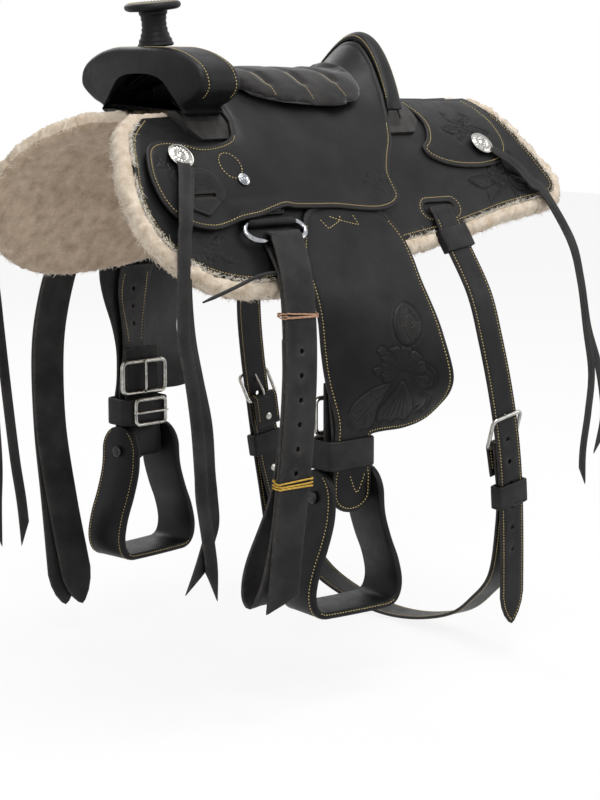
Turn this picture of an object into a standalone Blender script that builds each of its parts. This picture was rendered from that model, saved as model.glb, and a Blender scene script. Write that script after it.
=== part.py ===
"""Pony western saddle: tree, skirts, jockeys, rigging, fenders, stirrups, strings and flank cinch.

Metres, +Z up. The head end is -X and the near (left) side is -Y. The origin is on the horse's
back under the middle of the saddle. Outlines are listed in millimetres and turned into metres.
"""

import math

import bmesh
import bpy
from mathutils import Vector
from mathutils.geometry import delaunay_2d_cdt

# Horse's back: straight ridge, round shoulder, straight flank
RIDGE_ANGLE = math.radians(12.0)
FLANK_ANGLE = math.radians(62.0)
SHOULDER_ARC = 0.140

# Leather thicknesses and clearances
GAP = 0.0003
FLEECE_T = 0.014
SKIRT_T = 0.004
UNDER_T = 0.004
JOCKEY_T = 0.0035
TRIM_T = 0.0025
STRAP_T = 0.0034
RUB_T = 0.0010

# Skirts and fleece
SKIRT_LENGTH = 0.586
SKIRT_DROP = 0.229
SKIRT_CENTRE = 0.025
FLEECE_PROUD = 0.012

# Tree
BAR_T = 0.010
BAR_TOP = 0.024
BAR_LOW = 0.078
BAR_FRONT = -0.172
BAR_REAR = 0.150
FORK_FRONT = -0.168
FORK_REAR = -0.122
FORK_TOP = 0.070
FORK_LEAN = 0.10
SWELL_HALF = 0.098
GULLET_HALF = 0.050
GULLET_TOP = 0.044
COVER_T = 0.0028
HORN_HEIGHT = 0.034
HORN_NECK = 0.034
HORN_CAP = 0.058
HORN_CAP_T = 0.009
CANTLE_TOP_T = 0.014
CANTLE_BASE_T = 0.022
BINDING_H = 0.009
BINDING_W = 0.022

# Seat
SEAT_FRONT = -0.118
SEAT_JOIN = 0.118
SEAT_PAD_CROWN = 0.011
SEAT_PAD_EDGE = 0.003

# Rigging
DEE_X = -0.122
DEE_WIDTH = 0.074
DEE_WIRE = 0.003
DEE_TOP = 0.170
DEE_DROP = 0.023
DEE_RISE = 0.0024
RIGGING_W = 0.046
LATIGO_W = 0.040
LATIGO_HOLE = 0.0026
LATIGO_HOLE_PITCH = 0.0240
LATIGO_FIRST_HOLE = 0.140
BILLET_FIRST_HOLE = 0.100
BAND_WIRE = 0.0011

# Fenders and stirrup leathers
PIVOT_DROP = 0.178
PIVOT_X = -0.041
LEATHER_W = 0.046
NECK_Z = -0.3345
STIRRUP_X = -0.049
HOBBLE_H = 0.030
HOBBLE_W = 0.064
HOBBLE_T = 0.003

# Stirrups
STIRRUP_W = 0.118
STIRRUP_TOP_W = 0.068
STIRRUP_H = 0.150
STIRRUP_DEPTH = 0.057
STIRRUP_T = 0.0075
STIRRUP_YAW = math.radians(6.0)
BOLT_R = 0.0035
SLEEVE_R = 0.006
BOLT_FIT = 0.0003
SLEEVE_FIT = 0.0009
BOLT_HEAD = 0.0065
BOLT_DOWN = 0.0280

# Strings
STRING_W = 0.011
STRING_T = 0.0025
STRING_SPLIT = 0.0003
STRING_LIFT = 0.0004
CONCHO_R = 0.013
CONCHO_T = 0.0026
FRONT_CONCHO = (-0.211, 0.098)
REAR_CONCHO = (0.222, 0.100)
SCREW_R = 0.0065
SCREW_AT = (-0.142, 0.127)

# Flank billets and cinch
FLANK_X = 0.122
FLANK_SLOT_T = 0.1665
SLOT_W = 0.046
SLOT_H = 0.014
FLANK_W = 0.036
BILLET_HOLE = 0.0026
KEEPER_T = 0.0026
KEEPER_H = 0.026
BUCKLE_WIRE = 0.0022
BUCKLE_W = 0.044
BUCKLE_H = 0.032

# Offsets of the layers from the horse's back
SKIRT_LOW = FLEECE_T + GAP
SKIRT_HIGH = SKIRT_LOW + SKIRT_T
UNDER_LOW = SKIRT_HIGH + GAP
UNDER_HIGH = UNDER_LOW + UNDER_T
JOCKEY_LOW = UNDER_HIGH + GAP
JOCKEY_HIGH = JOCKEY_LOW + JOCKEY_T
TRIM_LOW = JOCKEY_HIGH + GAP
BAR_HIGH = UNDER_LOW + BAR_T
REAR_TOP = UNDER_LOW + JOCKEY_T + GAP

STRAP_BEND = math.radians(14.0)
SIDES = (("near", -1.0), ("off", 1.0))
MATERIALS = {}


def clear_scene():
    for thing in list(bpy.data.objects):
        bpy.data.objects.remove(thing, do_unlink=True)


def material(name, colour, roughness, metallic=0.0):
    made = bpy.data.materials.new(name)
    made.use_nodes = True
    shader = made.node_tree.nodes["Principled BSDF"]
    shader.inputs["Base Color"].default_value = (*colour, 1.0)
    shader.inputs["Roughness"].default_value = roughness
    shader.inputs["Metallic"].default_value = metallic
    MATERIALS[name] = made


def mm(points):
    """Points listed in millimetres, as metres."""
    return [tuple(0.001 * value for value in point) for point in points]


def mirrored(point, side):
    return Vector((point[0], side * point[1], point[2]))


def smooth(points, step, closed=False):
    """Evenly spaced points of a Catmull-Rom curve through the points given."""
    return spaced(fine_curve(points, closed), step, closed)


def fine_curve(points, closed=False):
    """Dense points of a Catmull-Rom curve through the points given."""
    knots = [Vector(p) for p in points]
    count = len(knots)
    fine = []
    for i in range(count if closed else count - 1):
        before = knots[(i - 1) % count] if closed or i > 0 else 2 * knots[0] - knots[1]
        a = knots[i]
        b = knots[(i + 1) % count]
        if closed or i + 2 < count:
            after = knots[(i + 2) % count]
        else:
            after = 2 * knots[-1] - knots[-2]
        for k in range(24):
            t = k / 24.0
            low = (2 * a) + (b - before) * t
            high = (2 * before - 5 * a + 4 * b - after) * t**2
            fine.append(0.5 * (low + high + (3 * a - before - 3 * b + after) * t**3))
    fine.append(knots[0] if closed else knots[-1])
    return fine


def spaced(fine, step, closed=False):
    lengths = [0.0]
    for a, b in zip(fine, fine[1:]):
        lengths.append(lengths[-1] + (b - a).length)
    pieces = max(3, round(lengths[-1] / step))
    made = []
    place = 0
    for k in range(pieces if closed else pieces + 1):
        want = lengths[-1] * k / pieces
        while place < len(lengths) - 2 and lengths[place + 1] < want:
            place += 1
        span = lengths[place + 1] - lengths[place]
        share = (want - lengths[place]) / span if span > 0 else 0.0
        made.append(fine[place].lerp(fine[place + 1], min(1.0, share)))
    return made


def back(t, off):
    """Point (y, z) of the horse's back at distance t from the ridge, off above it."""
    radius = SHOULDER_ARC / (FLANK_ANGLE - RIDGE_ANGLE)
    angle = RIDGE_ANGLE + min(t, SHOULDER_ARC) / radius
    y = radius * (math.sin(angle) - math.sin(RIDGE_ANGLE))
    z = -radius * (math.cos(RIDGE_ANGLE) - math.cos(angle))
    rest = t - SHOULDER_ARC
    if rest > 0:
        y += rest * math.cos(angle)
        z -= rest * math.sin(angle)
    return y + off * math.sin(angle), z + off * math.cos(angle)


def lay(x, t, off):
    """Point on the off side of the saddle, t down from the ridge."""
    y, z = back(t, off)
    return Vector((x, y, z))


HANG_Y = back(SKIRT_DROP, UNDER_HIGH)[0]


def hang(x, z, out):
    """Point below the skirt of the off side, out from the fender's face there."""
    return Vector((x, HANG_Y + out, z))


def add_object(name, bm, material_name, angle=40.0):
    """Turns a bmesh into a closed, outward-facing object."""
    bmesh.ops.remove_doubles(bm, verts=bm.verts[:], dist=1e-6)
    bmesh.ops.recalc_face_normals(bm, faces=bm.faces[:])
    mesh = bpy.data.meshes.new(name)
    bm.to_mesh(mesh)
    bm.free()
    mesh.shade_smooth()
    mesh.set_sharp_from_angle(angle=math.radians(angle))
    made = bpy.data.objects.new(name, mesh)
    made.data.materials.append(MATERIALS[material_name])
    bpy.context.scene.collection.objects.link(made)
    return made


def set_origin(thing, point):
    """Moves an object's origin, and leaves its shape where it is."""
    for vertex in thing.data.vertices:
        vertex.co -= point
    thing.location = point


def inside(spot, rings):
    """Whether a flat point lies in the outline and outside its holes."""
    odd = False
    for ring in rings:
        for a, b in zip(ring, ring[1:] + ring[:1]):
            if (a[1] > spot[1]) != (b[1] > spot[1]):
                if spot[0] < a[0] + (b[0] - a[0]) * (spot[1] - a[1]) / (b[1] - a[1]):
                    odd = not odd
    return odd


def flat_cells(rings, cuts):
    """Flat outline with holes, triangulated with edges along the cut lines."""
    points = [Vector((p[0], p[1])) for ring in rings for p in ring]
    reach = 0.05 + max(max(abs(p.x), abs(p.y)) for p in points)
    edges = []
    first = 0
    for ring in rings:
        count = len(ring)
        edges += [(first + i, first + (i + 1) % count) for i in range(count)]
        first += count
    for axis, value in cuts:
        for end in (-reach, reach):
            points.append(Vector((value, end)) if axis == 0 else Vector((end, value)))
        edges.append((len(points) - 2, len(points) - 1))
    spots, links, cells = delaunay_2d_cdt(points, edges, [], 0, 2e-5)[:3]
    kept = [c for c in cells if inside(sum((spots[i] for i in c), Vector((0, 0))) / len(c), rings)]
    flat = bmesh.new()
    verts = {i: flat.verts.new((*spots[i], 0.0)) for i in sorted({i for c in kept for i in c})}
    for cell in kept:
        flat.faces.new([verts[i] for i in cell])
    return flat


def sheet(bm, rings, cuts, place, low, high):
    """Lays a flat pattern on a surface as a closed sheet between two heights."""
    flat = flat_cells(rings, cuts)
    bottom = {}
    top = {}
    for v in flat.verts:
        u, w = v.co.x, v.co.y
        bottom[v] = bm.verts.new(place(u, w, low(u, w) if callable(low) else low))
        top[v] = bm.verts.new(place(u, w, high(u, w) if callable(high) else high))
    for face in flat.faces:
        bm.faces.new([top[v] for v in face.verts])
        bm.faces.new([bottom[v] for v in reversed(face.verts)])
    for edge in flat.edges:
        if len(edge.link_faces) == 1:
            a, b = edge.verts
            bm.faces.new([top[a], top[b], bottom[b], bottom[a]])
    flat.free()
    return bm


def hole(u, w, radius, sides=8):
    turns = [math.tau * (k + 0.5) / sides for k in range(sides)]
    return [(u + radius * math.cos(a), w + radius * math.sin(a)) for a in turns]


def lines(axis, first, last, step):
    count = max(1, round((last - first) / step))
    return [(axis, first + (last - first) * k / count) for k in range(1, count)]


def thinned(fine, step, bend):
    """Points of a dense curve, close together only where it bends."""
    kept = [fine[0]]
    heading = (fine[1] - fine[0]).normalized()
    run = 0.0
    for i in range(1, len(fine) - 1):
        run += (fine[i] - fine[i - 1]).length
        ahead = (fine[i + 1] - fine[i]).normalized()
        turned = math.acos(max(-1.0, min(1.0, heading.dot(ahead))))
        if run > 0.0012 and (run >= step or turned >= bend):
            kept.append(fine[i])
            heading = ahead
            run = 0.0
    if run < 0.0012 and len(kept) > 2:
        kept.pop()
    return kept + [fine[-1]]


def soft_box(half_u, half_v, steps, power):
    """Points round a rectangle with soft corners."""
    made = []
    for k in range(steps):
        a = math.tau * k / steps
        c = math.copysign(abs(math.cos(a)) ** power, math.cos(a))
        s = math.copysign(abs(math.sin(a)) ** power, math.sin(a))
        made.append((half_u * c, half_v * s))
    return made


class Route:
    """Smooth line through points with a width direction, for straps."""

    def __init__(self, points, step=0.020, across=(1.0, 0.0, 0.0), turns=None):
        self.points = thinned(fine_curve(points), step, STRAP_BEND)
        self.lengths = [0.0]
        for a, b in zip(self.points, self.points[1:]):
            self.lengths.append(self.lengths[-1] + (b - a).length)
        self.length = self.lengths[-1]
        self.across = Vector(across)
        self.turns = turns

    def frame(self, u):
        k = 0
        while k < len(self.lengths) - 2 and self.lengths[k + 1] < u:
            k += 1
        share = (u - self.lengths[k]) / (self.lengths[k + 1] - self.lengths[k])
        spot = self.points[k].lerp(self.points[k + 1], share)
        tangents = []
        for i in (k, k + 1):
            a = self.points[max(0, i - 1)]
            b = self.points[min(len(self.points) - 1, i + 1)]
            tangents.append((b - a).normalized())
        along = tangents[0].lerp(tangents[1], min(1.0, max(0.0, share))).normalized()
        wide = self.turns(spot) if self.turns else self.across
        wide = (wide - along * wide.dot(along)).normalized()
        return spot, wide, wide.cross(along)

    def place(self, u, w, h):
        spot, wide, normal = self.frame(u)
        return spot + wide * w + normal * h

    def cuts(self, every=1):
        return [(0, u) for u in self.lengths[1:-1:every]]


def strap_outline(length, width, start="square", end="square"):
    """Flat outline of a strap from 0 to length, with the ends asked for."""
    half = width / 2

    def tip(kind, at, way):
        if kind == "point":
            shapes = [(0.9, 1.0), (0.35, 0.62), (0.0, 0.0), (0.35, -0.62), (0.9, -1.0)]
        elif kind == "round":
            turns = [math.radians(a) for a in (90, 60, 30, 0, -30, -60, -90)]
            shapes = [(0.5 * (1 - math.cos(a)), math.sin(a)) for a in turns]
        elif kind == "slant":
            shapes = [(0.0, 1.0), (1.3, -1.0)]
        else:
            shapes = [(0.0, 1.0), (0.0, -1.0)]
        return [(at + way * width * s, half * w) for s, w in shapes]

    first = tip(start, 0.0, 1.0)
    last = tip(end, length, -1.0)
    return first + last[::-1]


def strap(bm, route, width, thick, start="square", end="square", holes=(), side=1.0, hole_r=0.0):
    """Strap of one leather along a route, with round holes at the lengths given."""
    rings = [strap_outline(route.length, width, start, end)]
    cuts = route.cuts()
    for u in holes:
        rings.append(hole(u, 0.0, hole_r))
        cuts = [c for c in cuts if abs(c[1] - u) > 1.6 * hole_r] + [(0, u)]

    def place(u, w, h):
        return mirrored(route.place(u, w, h), side)

    return sheet(bm, rings, cuts, place, -thick / 2, thick / 2)


def loft(bm, rings, closed=False):
    """Skin over rings of equal count, capped at both ends unless closed."""
    made = [[bm.verts.new(p) for p in ring] for ring in rings]
    count = len(made[0])
    pairs = list(zip(made, made[1:]))
    if closed:
        pairs.append((made[-1], made[0]))
    for a, b in pairs:
        for i in range(count):
            j = (i + 1) % count
            bm.faces.new([a[i], a[j], b[j], b[i]])
    if not closed:
        bm.faces.new(made[0][::-1])
        bm.faces.new(made[-1])
    return bm


def tube(bm, points, radius, sides=8, closed=False, flat=(0.0, 0.0, 1.0)):
    """Round wire along points that lie near one plane, whose normal is flat."""
    line = [Vector(p) for p in points]
    count = len(line)
    normal = Vector(flat).normalized()
    rings = []
    for i, spot in enumerate(line):
        before = line[(i - 1) % count] if closed or i > 0 else spot
        after = line[(i + 1) % count] if closed or i < count - 1 else spot
        along = (after - before).normalized()
        lift = (normal - along * normal.dot(along)).normalized()
        wide = along.cross(lift)
        ring = []
        for k in range(sides):
            a = math.tau * k / sides
            ring.append(spot + radius * (math.cos(a) * wide + math.sin(a) * lift))
        rings.append(ring)
    return loft(bm, rings, closed)


def disc(bm, centre, normal, profile, steps=16):
    """Turned piece: radius and height pairs from its underside up to its middle."""
    up = Vector(normal).normalized()
    wide = up.cross(Vector((1.0, 0.0, 0.0)))
    if wide.length < 0.1:
        wide = up.cross(Vector((0.0, 1.0, 0.0)))
    wide.normalize()
    deep = up.cross(wide)
    rings = []
    for radius, height in profile:
        ring = []
        for k in range(steps):
            a = math.tau * k / steps
            spot = wide * math.cos(a) + deep * math.sin(a)
            ring.append(Vector(centre) + spot * radius + up * height)
        rings.append(ring)
    return loft(bm, rings)


def normal_at(side):
    """Outward normal of the straight flank."""
    return Vector((0.0, side * math.sin(FLANK_ANGLE), math.cos(FLANK_ANGLE)))


def lay_normal(t, side):
    a = lay(0.0, t, 0.0)
    b = lay(0.0, t, 0.01)
    return mirrored((b - a).normalized(), side)


def cut_with(thing, cutter):
    cutter.hide_render = True
    cutter.display_type = "WIRE"
    modifier = thing.modifiers.new("cut", "BOOLEAN")
    modifier.operation = "DIFFERENCE"
    modifier.object = cutter


def join_with(thing, other):
    other.hide_render = True
    other.display_type = "WIRE"
    modifier = thing.modifiers.new("join", "BOOLEAN")
    modifier.operation = "UNION"
    modifier.object = other


# Skirts and fleece

SKIRT_SHAPE = [
    (0.105, 0.170), (0.045, 0.300), (0.008, 0.490), (0.000, 0.610), (0.010, 0.730), (0.042, 0.850),
    (0.090, 0.938), (0.150, 0.988), (0.215, 1.000), (0.310, 0.978), (0.420, 0.925), (0.550, 0.868),
    (0.660, 0.830), (0.750, 0.787), (0.840, 0.740), (0.920, 0.712), (0.962, 0.698), (0.990, 0.668),
    (0.996, 0.618), (0.982, 0.545), (0.962, 0.400), (0.950, 0.200), (0.944, 0.040),
]


def skirt_outline():
    first = SKIRT_CENTRE - SKIRT_LENGTH / 2
    knots = [(first + SKIRT_LENGTH * u, SKIRT_DROP * v, 0.0) for u, v in SKIRT_SHAPE]
    return [(p.x, p.y) for p in smooth(knots, 0.013)]


def grown(outline, amount):
    """Outline moved outward by amount, but not at its straight top edge."""
    count = len(outline)
    made = []
    for i, (u, w) in enumerate(outline):
        before = outline[max(0, i - 1)]
        after = outline[min(count - 1, i + 1)]
        along = Vector((after[0] - before[0], after[1] - before[1])).normalized()
        made.append((u - along.y * amount, w + along.x * amount))
    return made


def slot_ring():
    half = SLOT_W / 2 - SLOT_H / 2
    ring = []
    for way, turn in ((1, -90), (-1, 90)):
        for k in range(5):
            a = math.radians(turn + 45 * k)
            u = FLANK_X + way * half + SLOT_H / 2 * math.cos(a)
            ring.append((u, FLANK_SLOT_T + SLOT_H / 2 * math.sin(a)))
    return ring


def side_place(side):
    def place(u, w, h):
        return mirrored(lay(u, w, h), side)
    return place


def build_skirts():
    outline = skirt_outline()
    fleece = grown(outline, FLEECE_PROUD)
    cuts = lines(1, 0.0, SHOULDER_ARC + 0.014, 0.014) + [(1, FLANK_SLOT_T)]
    for name, side in SIDES:
        place = side_place(side)
        skirt = sheet(bmesh.new(), [outline, slot_ring()], cuts, place, SKIRT_LOW, SKIRT_HIGH)
        add_object("skirt_" + name, skirt, "leather_black")
        lining = sheet(bmesh.new(), [fleece], cuts[:-1], place, 0.0, FLEECE_T)
        add_object("fleece_" + name, lining, "fleece_cream")


# Seat surface over the tree, running on into the flank

SEAT_LINE = [(-0.130, 0.047), (-0.100, 0.039), (-0.055, 0.0345), (0.0, 0.0330), (0.045, 0.0350),
             (0.080, 0.044), (0.105, 0.061), (0.128, 0.084)]


def along_line(table, x):
    for (x0, z0), (x1, z1) in zip(table, table[1:]):
        if x <= x1 or x1 == table[-1][0]:
            share = min(1.0, max(0.0, (x - x0) / (x1 - x0)))
            return z0 + (z1 - z0) * share
    return table[-1][1]


SEAT_CURVE = [(p.x, p.y) for p in smooth([(x, z, 0.0) for x, z in SEAT_LINE], 0.004)]


def seat_point(x, v):
    """Point of the seat's underside; v is the way out from the middle, then down the flank."""
    side = -1.0 if v < 0 else 1.0
    v = abs(v)
    if v >= SEAT_JOIN:
        return mirrored(lay(x, v, JOCKEY_LOW), side)
    end = lay(x, SEAT_JOIN, JOCKEY_LOW)
    ahead = (lay(x, SEAT_JOIN + 0.001, JOCKEY_LOW) - end) / 0.001
    start = Vector((x, 0.0, along_line(SEAT_CURVE, x) + JOCKEY_LOW - 0.0229))
    s = v / SEAT_JOIN
    reach = SEAT_JOIN * 1.05
    spot = (2 * s**3 - 3 * s**2 + 1) * start
    spot += (s**3 - 2 * s**2 + s) * Vector((0.0, reach, 0.0))
    spot += (3 * s**2 - 2 * s**3) * end
    spot += (s**3 - s**2) * ahead * reach
    return mirrored(spot, side)


def seat_place(x, v, h):
    e = 0.0005
    du = seat_point(x + e, v) - seat_point(x - e, v)
    dv = seat_point(x, v + e) - seat_point(x, v - e)
    return seat_point(x, v) + du.cross(dv).normalized() * h


SEAT_SIDE = [(-104, 88), (-92, 104), (-91, 130), (-91, 150), (-86, 157), (-60, 159), (-30, 161), (0, 165),
             (24, 167), (42, 165), (55, 160), (62, 152), (61, 140), (60, 128), (70, 113), (86, 96), (98, 78)]
RIM_SHAPE = [(0.108, 0.060), (0.117, 0.035), (0.122, 0.012)]


def seat_outline():
    knots = mm(SEAT_SIDE)
    half = [(SEAT_FRONT, 0.030), (SEAT_FRONT, 0.064)]
    half += [(p.x, p.y) for p in smooth([(x, v, 0.0) for x, v in knots], 0.012)]
    half += RIM_SHAPE
    return half + [(x, -v) for x, v in reversed(half)]


SEAT_GRID = lines(1, -0.154, 0.154, 0.014) + lines(0, SEAT_FRONT, 0.122, 0.020)


def build_seat():
    seat = sheet(bmesh.new(), [seat_outline()], SEAT_GRID, seat_place, 0.0, JOCKEY_T)
    add_object("seat_leather", seat, "leather_black")
    build_seat_pad()


PAD_FRONT = -0.100
PAD_REAR = 0.094
PAD_HALF = 0.072


def pad_outline():
    ring = []
    for k in range(36):
        a = math.tau * k / 36
        c, s = math.cos(a), math.sin(a)
        u = math.copysign(abs(c) ** 0.6, c)
        w = math.copysign(abs(s) ** 0.6, s)
        wide = PAD_HALF * (0.86 + 0.14 * u)
        ring.append(((PAD_FRONT + PAD_REAR) / 2 + u * (PAD_REAR - PAD_FRONT) / 2, wide * w))
    return ring


def pad_height(x, v):
    """Crown of the pad, drawn in at its rim and along one cross seam."""
    u = (x - (PAD_FRONT + PAD_REAR) / 2) / ((PAD_REAR - PAD_FRONT) / 2)
    w = v / (PAD_HALF * (0.86 + 0.14 * u))
    reach = min(1.0, (abs(u) ** 3.3 + abs(w) ** 3.3) ** (1 / 3.3))
    crown = SEAT_PAD_CROWN * (1 - reach**2) ** 0.6
    return JOCKEY_T + 3 * GAP + SEAT_PAD_EDGE + crown


def build_seat_pad():
    pad = sheet(bmesh.new(), [pad_outline()], SEAT_GRID, seat_place, JOCKEY_T + 3 * GAP, pad_height)
    add_object("seat_pad", pad, "suede_black")


# Tree: bars, fork, horn and cantle

def build_bar(name, side):
    ring = [(BAR_FRONT, BAR_TOP + 0.012), (BAR_FRONT + 0.012, BAR_TOP), (BAR_REAR - 0.012, BAR_TOP),
            (BAR_REAR, BAR_TOP + 0.012), (BAR_REAR, BAR_LOW - 0.012), (BAR_REAR - 0.012, BAR_LOW),
            (BAR_FRONT + 0.012, BAR_LOW), (BAR_FRONT, BAR_LOW - 0.012)]
    cuts = lines(1, BAR_TOP, BAR_LOW, 0.009)

    def thick(x, t):
        edge = min(1.0, (BAR_LOW - t) / 0.022)
        return UNDER_LOW + 0.003 + (BAR_T - 0.003) * edge

    bm = sheet(bmesh.new(), [ring], cuts, side_place(side), UNDER_LOW, thick)
    return add_object(name, bm, "wood_pale")


def fork_ring(grow, foot):
    """Outline of the fork in (y, z), grown outward, with its feet on the bars."""
    outer = [(0.066 + grow, 0.013), (0.082 + grow, 0.020), (SWELL_HALF + grow, 0.034),
             (SWELL_HALF - 0.006 + grow, 0.050 + grow), (0.070 + grow / 2, 0.063 + grow),
             (0.046, FORK_TOP - 0.001 + grow), (0.020, FORK_TOP + grow)]
    inner = [(0.016, GULLET_TOP - grow), (0.034, GULLET_TOP - 0.005 - grow),
             (GULLET_HALF - 0.004 - grow, GULLET_TOP - 0.018), (GULLET_HALF - grow, 0.016)]
    feet = [back(t, BAR_HIGH + foot) for t in (0.036, 0.045, 0.054)]
    right = feet + outer + [(-y, z) for y, z in reversed(outer)] + [(-y, z) for y, z in reversed(feet)]
    return right + [(-y, z) for y, z in reversed(inner)] + inner


def fork_solid(grow, foot, deeper=0.0):
    bm = bmesh.new()
    ring = fork_ring(grow, foot)
    ends = []
    for x in (FORK_FRONT - grow - deeper, FORK_REAR + grow + deeper):
        ends.append([Vector((x - FORK_LEAN * z, y, z)) for y, z in ring])
    return loft(bm, ends)


def build_tree():
    """Bars, fork and cantle glued into one tree, with the leather shell over the fork."""
    tree = build_bar("tree", -1.0)
    join_with(tree, add_object("tree_fork", fork_solid(0.0, -0.005), "wood_pale"))
    join_with(tree, build_bar("tree_off_bar", 1.0))
    join_with(tree, build_cantle())
    cover = add_object("swell_cover", fork_solid(COVER_T + GAP, 2 * GAP), "leather_black")
    cut_with(cover, add_object("swell_inside", fork_solid(GAP, -0.004), "wood_pale"))


def build_horn():
    base = FORK_TOP + COVER_T + 2 * GAP
    x = (FORK_FRONT + FORK_REAR) / 2 - FORK_LEAN * base
    up = Vector((-0.10, 0.0, 1.0)).normalized()
    centre = Vector((x, 0.0, base + 0.0020))
    neck = HORN_NECK / 2
    bm = disc(bmesh.new(), centre, up, [(neck * 0.98, 0.0), (neck, 0.003), (neck * 0.78, 0.014),
                                        (neck * 0.74, 0.024), (neck * 0.9, HORN_HEIGHT)], 20)
    for v in bm.verts:
        if v.co.z < base + 0.0035:
            v.co.z = base
    add_object("horn", bm, "leather_black")
    top = centre + up * (HORN_HEIGHT + GAP)
    cap = HORN_CAP / 2
    bm = disc(bmesh.new(), top, up, [(cap * 0.86, 0.0), (cap * 0.97, 0.002), (cap, 0.0045),
                                     (cap * 0.97, 0.007), (cap * 0.90, HORN_CAP_T)], 28)
    add_object("horn_cap", bm, "leather_black")
    return top + up * HORN_CAP_T, up


def rim(v):
    """The seat's rear rim at v: x and the top of the seat leather there."""
    share = min(1.0, abs(v) / 0.078)
    x = 0.122 - 0.024 * share**2
    return x, seat_place(x, v, JOCKEY_T)


def floor_at(y, off):
    """Height of the layer off above the horse's back, at the distance y from the middle."""
    t = 0.0
    while back(t, off)[0] < abs(y) and t < SKIRT_DROP:
        t += 0.001
    return back(t, off)[1]


def cantle_ring(v, front, rear_top, rear_base):
    x, top = rim(v)
    low = min(floor_at(top.y, UNDER_LOW + 0.0015), top.z - 0.006)
    return [Vector((x + front, top.y, top.z)), Vector((x + rear_top, top.y, top.z - 0.001)),
            Vector((x + rear_base, top.y, low)), Vector((x + front, top.y, low))]


def build_cantle():
    stations = [0.072 * k / 7 for k in range(-7, 8)]
    wood = [cantle_ring(v, 0.0008, CANTLE_TOP_T, CANTLE_BASE_T) for v in stations]
    block = add_object("tree_cantle", loft(bmesh.new(), wood), "wood_pale")
    leather = []
    for v in stations:
        inner = cantle_ring(v, CANTLE_TOP_T + 0.0011, CANTLE_TOP_T + 0.0011, 0.0)
        a = inner[1]
        low = floor_at(a.y, BAR_HIGH + 0.0010)
        share = (a.z - low) / (a.z - inner[2].z)
        b = Vector((a.x + (CANTLE_BASE_T - CANTLE_TOP_T) * share, a.y, low))
        skin = Vector((COVER_T, 0.0, 0.0))
        leather.append([a, a + skin, b + skin, b])
    add_object("cantle_back", loft(bmesh.new(), leather), "leather_black")
    roll = []
    for v in stations:
        x, top = rim(v)
        ring = []
        for k in range(7):
            a = math.pi * k / 6
            ring.append(Vector((x + BINDING_W * (0.5 - 0.5 * math.cos(a)) - 0.001, top.y,
                                top.z + 3 * GAP + BINDING_H * math.sin(a))))
        roll.append(ring)
    add_object("cantle_binding", loft(bmesh.new(), roll), "leather_black")
    return block


# Jockeys, rosettes, conchos

FRONT_JOCKEY = [(-176, 92), (-196, 84), (-222, 82), (-240, 90), (-250, 108), (-253, 124), (-250, 141),
                (-240, 158), (-221, 170), (-197, 175), (-176, 172), (-160, 168), (-136, 165), (-112, 159),
                (-97, 154)]
REAR_JOCKEY = [(162, 16), (164, 60), (150, 86), (134, 98), (140, 112), (170, 122), (215, 124), (250, 116),
               (266, 96), (270, 60), (264, 22)]
ROSETTE = [(-202, 121), (-196, 114), (-178, 114), (-169, 121), (-168, 139), (-188, 162), (-203, 146)]
STEM_HALF = 0.0012


def ease(value):
    share = min(1.0, max(0.0, value))
    return share**2 * (3 - 2 * share)


def dee_rise(x, t):
    """How far the front jockey rises over the dee's bar."""
    return DEE_RISE * ease((t - 0.142) / 0.013) * ease((x + 0.178) / 0.016)


def front_low(x, t):
    return JOCKEY_LOW + dee_rise(x, t)


def front_high(x, t):
    return JOCKEY_HIGH + dee_rise(x, t)


def patch_outline(knots, step=0.012):
    return [(p.x, p.y) for p in smooth([(x, t, 0.0) for x, t in mm(knots)], step)]


def build_jockeys():
    front = patch_outline(FRONT_JOCKEY) + mm([(-93, 150), (-93, 106), (-104, 92)])
    rear = patch_outline(REAR_JOCKEY)
    curve = lines(1, 0.0, SHOULDER_ARC + 0.014, 0.014)
    across = curve + [(0, 0.001 * x) for x in (-178, -170, -162, -146, -120)]
    for name, side in SIDES:
        place = side_place(side)
        bm = sheet(bmesh.new(), [front], across, place, front_low, front_high)
        add_object("front_jockey_" + name, bm, "leather_black")
        bm = sheet(bmesh.new(), [rear], curve, place, UNDER_LOW, UNDER_LOW + JOCKEY_T)
        add_object("rear_jockey_" + name, bm, "leather_black")
        bm = sheet(bmesh.new(), [mm(ROSETTE)], across, place, TRIM_LOW, TRIM_LOW + TRIM_T)
        add_object("rosette_" + name, bm, "leather_black")


def on_layer(spot, side, off):
    """Centre and outward normal of a round piece lying on a layer."""
    x, t = spot
    return mirrored(lay(x, t, off), side), lay_normal(t, side)


def build_conchos():
    dome = [(CONCHO_R * 0.8, 0.0), (CONCHO_R, 0.0008), (CONCHO_R * 0.96, CONCHO_T * 0.6),
            (CONCHO_R * 0.6, CONCHO_T), (CONCHO_R * 0.15, CONCHO_T * 1.15)]
    head = [(SCREW_R, 0.0), (SCREW_R, 0.0012), (SCREW_R * 0.72, 0.0013), (SCREW_R * 0.66, 0.0028),
            (SCREW_R * 0.3, 0.0034)]
    for name, side in SIDES:
        for end, spot, off in (("front", FRONT_CONCHO, TRIM_LOW), ("rear", REAR_CONCHO, REAR_TOP)):
            centre, up = on_layer(spot, side, off + STRING_LIFT + STRING_T + GAP)
            concho = disc(bmesh.new(), centre, up, dome, 20)
            add_object("concho_" + end + "_" + name, concho, "nickel")
        centre, up = on_layer(SCREW_AT, side, TRIM_LOW + 0.0002)
        add_object("jockey_screw_" + name, disc(bmesh.new(), centre, up, head, 16), "chrome")


# Rigging

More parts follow.
